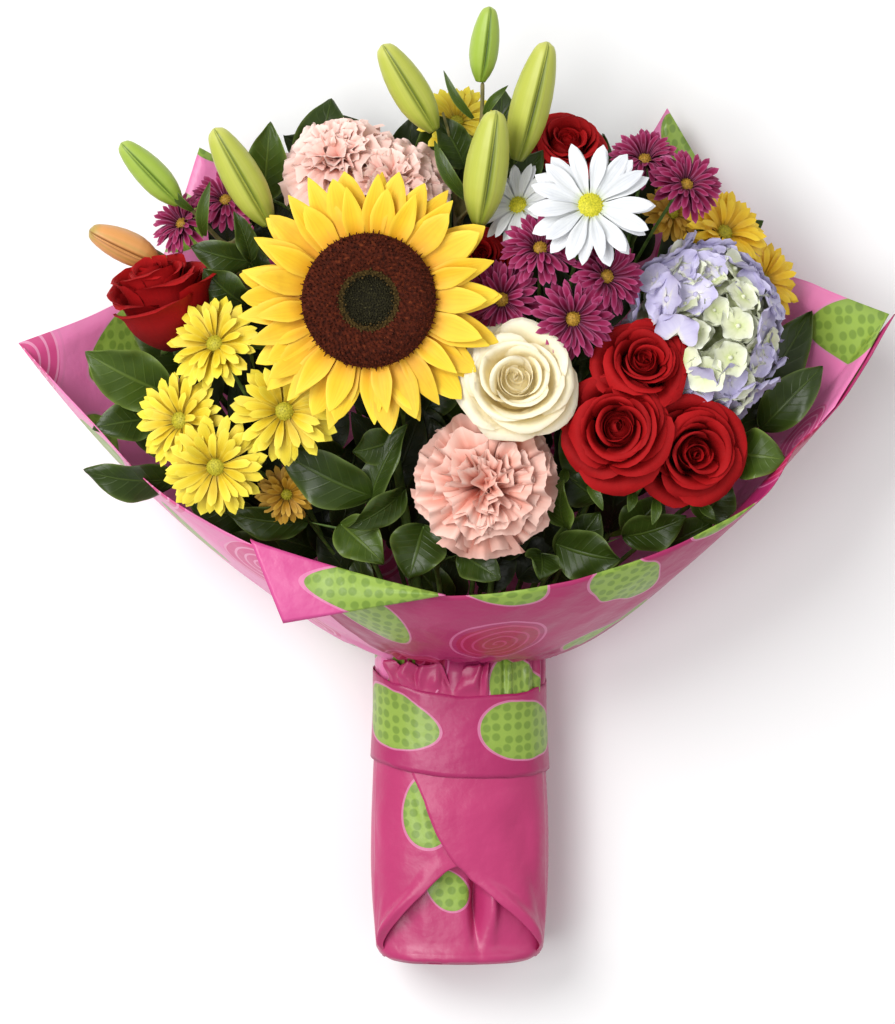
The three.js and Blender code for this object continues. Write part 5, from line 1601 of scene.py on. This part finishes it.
def sleeve_point(degrees, y, out):
    c, s = math.cos(math.radians(degrees)), math.sin(math.radians(degrees))
    bulge = 3.2 * math.sin(math.pi * (min(0, y) / FOOT_Y) ** 1.2)
    middle = SLEEVE_LIFT + SLEEVE_HALF_DEPTH
    z = middle + (SLEEVE_HALF_DEPTH + 1.5 + out) * squared(s)
    return Vector(((SLEEVE_HALF_WIDTH + bulge + out) * squared(c), y, max(z, SLEEVE_LIFT - out)))


def stations_at(stations, fine):
    """Stations along a rim, made finer. Its corners stay sharp."""
    last_station = len(stations) - 1
    cuts = [0] + [i for i, s in enumerate(stations) if s[0] in SHARP] + [last_station]
    rows = []
    for first, last in zip(cuts, cuts[1:]):
        part = stations[first : last + 1]
        steps = fine * (last - first)
        for k in range(steps + (last == last_station)):
            t = k / steps
            angle = curve_at([(s[0], 0, 0) for s in part], t)[0]
            rows.append((angle, curve_at([s[1] for s in part], t), curve_at([s[2] for s in part], t)))
    return rows


def fan_uvs(grid, seed):
    """The flat sheet of a flaring collar, unrolled like a cone about its middle column, in 100 mm units."""
    far_row = 2 * len(grid) // 3
    near = [(b - a).length for a, b in zip(grid[0], grid[0][1:])]
    far = [(b - a).length for a, b in zip(grid[far_row], grid[far_row][1:])]
    middle = len(near) // 2
    slant = sum((grid[r + 1][middle] - grid[r][middle]).length for r in range(far_row))
    apex = slant * sum(near) / (sum(far) - sum(near))
    reach = [0.0]
    for step in far:
        reach.append(reach[-1] + step / (apex + slant))
    uvs = []
    out = [apex] * len(grid[0])
    for r, row in enumerate(grid):
        if r:
            out = [so_far + (b - a).length for so_far, a, b in zip(out, grid[r - 1], row)]
        for so_far, turn in zip(out, reach):
            angle = turn - reach[middle]
            uvs.append((so_far * math.sin(angle) / 100 + seed, so_far * math.cos(angle) / 100 + 0.3 * seed))
    return uvs


def grid_object(name, grid, uvs):
    """An open sheet through a grid of points in mm."""
    width = len(grid[0])
    faces = [
        (r * width + c, r * width + c + 1, (r + 1) * width + c + 1, (r + 1) * width + c)
        for r in range(len(grid) - 1)
        for c in range(width - 1)
    ]
    return mesh_object(name, [point * MM for row in grid for point in row], faces, uvs)


HEM_ROWS, COLLAR_ROWS = 6, 34
TABLE_GAP = 0.4


def collar(name, stations, out, fine, seed):
    """A collar sheet: pleated where the band holds it, then flaring in slow folds to its rim."""
    columns = []
    for angle, rim, belly in stations_at(stations, fine):
        column = [(sleeve_point(angle, mix(HEM_Y, NECK_Y, k / HEM_ROWS), out), 0.0) for k in range(HEM_ROWS)]
        start = sleeve_point(angle, NECK_Y, out)
        for k in range(COLLAR_ROWS):
            t = (k / (COLLAR_ROWS - 1)) ** 1.15
            column.append((start * (1 - t) ** 2 + belly * (2 * t * (1 - t)) + rim * t * t, t))
        columns.append(column)
    count, width = HEM_ROWS + COLLAR_ROWS, len(columns)
    grid = []
    for r in range(count):
        row = []
        lift = smooth(r / HEM_ROWS)
        for c, column in enumerate(columns):
            point, t = column[r]
            ahead = columns[min(c + 1, width - 1)][r][0] - columns[max(c - 1, 0)][r][0]
            up = column[min(r + 1, count - 1)][0] - column[max(r - 1, 0)][0]
            normal = ahead.cross(up).normalized()
            share = c / (width - 1)
            pleat = math.sin(44 * share + 5 * wobble(share, t, seed, 7.0))
            pleat += wobble(share * 26, t * 3, seed + 5)
            pleat *= 1.3 * lift * (1 - t) ** 3
            drape = 3.0 * wobble(share * 9, t * 2.2, seed) + 1.2 * wobble(share * 24, t * 5, seed)
            folded = point + normal * (pleat + lift * t * (1 - 0.6 * t) * drape)
            folded.z = max(folded.z, TABLE_GAP)
            row.append(folded)
        grid.append(row)
    return grid_object(name, grid, fan_uvs(grid, seed))


def grid_sheet(name, rows, columns, surface, shift=(0.0, 0.0)):
    """An open sheet of paper, with the flat sheet as its UV map."""
    grid = [[Vector(surface(c / (columns - 1), r / (rows - 1))) for c in range(columns)] for r in range(rows)]
    middle = columns // 2
    uvs = []
    high = 0.0
    for r, row in enumerate(grid):
        high += (row[middle] - grid[r - 1][middle]).length if r else 0.0
        along = 0.0
        for c, point in enumerate(row):
            along += (point - row[c - 1]).length if c else 0.0
            uvs.append((along / 100 + shift[0], high / 100 + shift[1]))
    return grid_object(name, grid, uvs)


def turned_corner(u, t):
    rim = Vector(FRONT_SHEET[-1][1])
    along, tip = Vector(CORNER_ALONG), Vector(CORNER_TIP)
    top = rim.lerp(along, u) + Vector((0, -6 * u * (1 - u), 1.2))
    rise = 2.5 * math.sin(math.pi * t) + 0.6 * wobble(3 * u, 3 * t, 4)
    return top.lerp(tip.lerp(along, u), t) + Vector((0, 0, rise))


def paper_thick(obj, thickness, offset=0.0):
    return modified(obj, "SOLIDIFY", thickness=thickness * MM, offset=offset)


SLEEVE_AROUND, SLEEVE_ROWS = 320, 44
# The sleeve's front crease: its height, the angle of its fold and of the ridge beside it
CREASE_Y, CREASE_ANGLE, RIDGE_ANGLE = -110, 81, 70
# Where the sleeve's front is sunk above its foot
HOLLOW_TOP, HOLLOW_END = 82, 135


def sleeve():
    """The sleeve round the stems: dented, with soft lower corners, a front crease and a closed foot."""

    def surface(u, v):
        degrees = 360 * u
        y = mix(FOOT_Y, SLEEVE_TOP_Y, v)
        shrink = -3 * (1 - smooth((y - FOOT_Y) / 6)) - 3 * (1 - smooth((y - FOOT_Y) / 2))
        dent = 1.3 * wobble(2.6 * math.cos(TURN * u), 2.6 * math.sin(TURN * u) + 0.03 * y, 3)
        front = max(0.0, math.sin(TURN * u))
        low = bell(y - CREASE_Y, 17)
        crease = -12.0 * bell(degrees - CREASE_ANGLE, 3.8) + 3.5 * bell(degrees - RIDGE_ANGLE, 5)
        hollow = -6.5 * smooth((-y - HOLLOW_TOP) / 14) * (1 - smooth((-y - HOLLOW_END) / 10))
        hollow *= smooth(1.7 * (front - 0.3))
        soft = dent * smooth((-y - 20) / 20) * (0.3 + front)
        return sleeve_point(degrees, y, shrink + soft + crease * front * low + hollow)

    around = SLEEVE_AROUND
    body = grid_sheet("sleeve_wall", SLEEVE_ROWS, around + 1, surface, (0.2, 0.55))
    rim = [sleeve_point(360 * k / around, FOOT_Y, -6.0) for k in range(around)]
    middle = sum(rim, Vector()) / around
    cap = mesh_object(
        "sleeve_foot",
        [p * MM for p in rim] + [middle * MM],
        [(k, around, (k + 1) % around) for k in range(around)],
        [(0.9 + 0.01 * k, 0.3) for k in range(around)] + [(0.9, 0.3)],
    )
    whole = join("wrapper_sleeve", [body, cap])
    bm = bmesh.new()
    bm.from_mesh(whole.data)
    bmesh.ops.remove_doubles(bm, verts=bm.verts, dist=0.2 * MM)
    bmesh.ops.recalc_face_normals(bm, faces=bm.faces)
    bm.to_mesh(whole.data)
    bm.free()
    return paper_thick(whole, 0.6, -1)


def band_edges(x, z):
    """Heights of the band's upper and lower edge towards a direction round the neck."""
    dip = max(0.0, z) ** 1.3 * (1 - 0.35 * abs(x))
    return 18 - 8 * dip - 3.5 * x, -32 - 4.5 * dip - 3.5 * x


def band():
    """The band that closes the neck. Both its edges dip at the front."""

    def surface(u, v):
        x, z = math.cos(TURN * u), math.sin(TURN * u)
        high, low = band_edges(x, z)
        high += 1.0 * wobble(5 * x, 5 * z, 8)
        low += 0.7 * wobble(4 * x, 4 * z, 9)
        ripple = 0.5 * wobble(7 * x, 7 * z + 0.06 * mix(low, high, v), 5) * max(0.0, z)
        return sleeve_point(360 * u, mix(low, high, v), BAND_OUT + 0.5 * ripple)

    return paper_thick(grid_sheet("wrapper_band", 18, 201, surface, (0.37, 0.62)), 0.4, 0.0)


# Slanting edges of the two foot flaps: height and the angle where the flap starts

RIGHT_FLAP = [
    (-24, 122), (-36, 116.5), (-50, 107.6), (-68, 100.6), (-85, 92), (-95, 86), (-109, 69), (-125, 46),
    (-135, 31), (-143, 20),
]
LEFT_FLAP = [(-24, 110), (-60, 94), (-84, 86), (-90, 95), (-103, 108), (-119, 128), (-133, 148), (-143, 158)]


def edge_angle(rows, y):
    return float(np.interp(-y, [-row[0] for row in rows], [row[1] for row in rows]))


def flap(name, rows, far, seed, lift):
    """A folded flap of the foot, puffed behind its slanting edge and rolled into the lower corner.

    The left one lies flat where it runs under the right one.
    """

    def surface(u, v):
        y = mix(rows[0][0], rows[-1][0], v)
        start = edge_angle(rows, y)
        degrees = mix(start, far, u)
        below_band = smooth((-y - 40) / 18)
        corner = smooth((-y - 92) / 34)
        room = smooth(abs(start - far) / 32)
        puff = mix(1.2, 5.2, corner) * room * bell(u - mix(0.09, 0.22, corner), mix(0.1, 0.2, corner))
        soft = 2.0 * wobble(3.2 * u, 2.5 * v, seed) + 2.0 * wobble(1.6 * u + 2 * v, 2.2 * v, seed + 3)
        out = lift + below_band * (puff + soft * smooth(6 * (1 - u))) + 0.4 * bell(u, 0.05) * below_band
        if rows is LEFT_FLAP:
            out = mix(out, 0.45, smooth((edge_angle(RIGHT_FLAP, y) + 7 - degrees) / 6))
        sunk = smooth((v - 0.92) / 0.08)
        out = mix(max(0.4, out), -2.6, sunk)
        return sleeve_point(degrees, y, out - (lift + 0.6) * smooth((u - 0.88) / 0.12) * (1 - sunk))

    return paper_thick(grid_sheet(name, 60, 48, surface), 0.4)


def gathered_ends():
    """The crumpled cut ends of the collar that stand up behind the band at the front."""

    def surface(u, v):
        degrees = mix(140, 76, u)
        x, z = math.cos(math.radians(degrees)), math.sin(math.radians(degrees))
        edge = band_edges(x, z)[0]
        folds = 9 * u + 1.2 * v + 2.3 * wobble(5 * u, 2 * v, 5)
        saw = abs(folds % 2 - 1)
        notch = 11 * math.exp(-(((u - 0.74) / 0.045) ** 2))
        top = 27 + 2.5 * wobble(7 * u, 1, 6) + 2 * saw - notch
        y = mix(-10, top, v)
        free = smooth((y - edge + 2) / 10)
        out = BAND_OUT - 0.45 + free * (0.4 + 3.2 * saw + 2.2 * wobble(6 * u, 4 * v, 7))
        return sleeve_point(degrees, y, out) + Vector((2.0 * free * wobble(8 * u, 3 * v, 9), 0, 0))

    return paper_thick(grid_sheet("wrapper_gathered_ends", 22, 141, surface, (0.5, 0.1)), 0.4)


back_sheet = paper_thick(collar("wrapper_back_sheet", BACK_SHEET, -PAPER / 2, 12, 1), 0.6)
front_sheet = painted(collar("wrapper_front_sheet", FRONT_SHEET, PAPER / 2 + GAP, 14, 2), PAPER_PRINTED)
corner = painted(grid_sheet("wrapper_corner", 20, 40, turned_corner, (0.1, 0.35)), PAPER_CORNER)
front_sheet = paper_thick(join("wrapper_front_sheet", [front_sheet, corner]), 0.6)
finish_piece(painted(back_sheet, PAPER_PAINTED_LIGHT), ["wrap_back_sheet"], "wrapper_paper")
finish_piece(front_sheet, ["wrap_front_sheet"], "wrapper_paper")
finish_piece(painted(band(), PAPER_PRINTED), ["wrap_band"], "wrapper_paper")
finish_piece(painted(gathered_ends(), PAPER_PLAIN), [], "wrapper_paper")
finish_piece(painted(sleeve(), PAPER_FOOT), ["wrap_sleeve"], "wrapper_paper")
left_flap = flap("wrapper_flap_left", LEFT_FLAP, 166, 6, 0.5)
finish_piece(painted(left_flap, PAPER_FLAP), ["wrap_foot_flap_left"], "wrapper_paper")
right_flap = flap("wrapper_flap_right", RIGHT_FLAP, 14, 7, 1.1)
finish_piece(painted(right_flap, PAPER_PLAIN), ["wrap_foot_flap_right"], "wrapper_paper")

# The raffia tie keeps its CAD form

finish_piece(cad_copy("stem_tie", "raffia_tie", RAFFIA), ["stem_tie"], "raffia")

# Table, light and camera

table = mesh_object("table_top", [(-4, -4, 0), (4, -4, 0), (4, 4, 0), (-4, 4, 0)], [(0, 1, 2, 3)])
white, tree, shader = new_material("pale_table", 0.9)
table_grain = value_of(tree, "ShaderNodeTexNoise", {"Scale": 30.0, "Detail": 2.0})
painted(table, dressed(white, shader, blended(table_grain, "#f4f4f4", "#f8f8f8")))


def softbox(name, at, aim, size, power):
    light = bpy.data.lights.new(name, "AREA")
    light.shape = "SQUARE"
    light.size = size
    light.energy = power
    obj = bpy.data.objects.new(name, light)
    obj.location = at
    obj.rotation_euler = (Vector(aim) - Vector(at)).to_track_quat("-Z", "Y").to_euler()
    bpy.context.scene.collection.objects.link(obj)


CENTRE = (0.0, 0.12, 0.08)
softbox("key_light", (-1.1, 1.1, 1.9), CENTRE, 1.1, 38)
softbox("fill_light", (1.4, 0.9, 1.7), CENTRE, 1.4, 6)
softbox("front_light", (-0.9, -0.1, 2.4), CENTRE, 1.1, 20)
world = bpy.data.worlds.new("studio")
world.use_nodes = True
sky = world.node_tree.nodes["Background"].inputs
sky["Color"].default_value = (1, 1, 1, 1)
sky["Strength"].default_value = 0.45
bpy.context.scene.world = world
bpy.context.scene.view_settings.view_transform = "Standard"

VIEW_TILT = math.radians(6)
VIEW_DISTANCE = 2.5
PHOTO_ROWS = 1024
MM_PER_ROW = 0.55
VIEW_HEIGHT = PHOTO_ROWS * MM_PER_ROW * MM
aim = mm(-6.9, 118.3, 110.0)
towards = Vector((0, math.sin(VIEW_TILT), math.cos(VIEW_TILT)))
camera_data = bpy.data.cameras.new("camera")
camera_data.sensor_width = 36
camera_data.lens = camera_data.sensor_width * VIEW_DISTANCE / VIEW_HEIGHT
camera = bpy.data.objects.new("camera", camera_data)
camera.location = aim + towards * VIEW_DISTANCE
up = Vector((0, math.cos(VIEW_TILT), -math.sin(VIEW_TILT)))
camera.rotation_euler = Matrix((Vector((1, 0, 0)), up, towards)).transposed().to_euler()
bpy.context.scene.collection.objects.link(camera)
bpy.context.scene.camera = camera
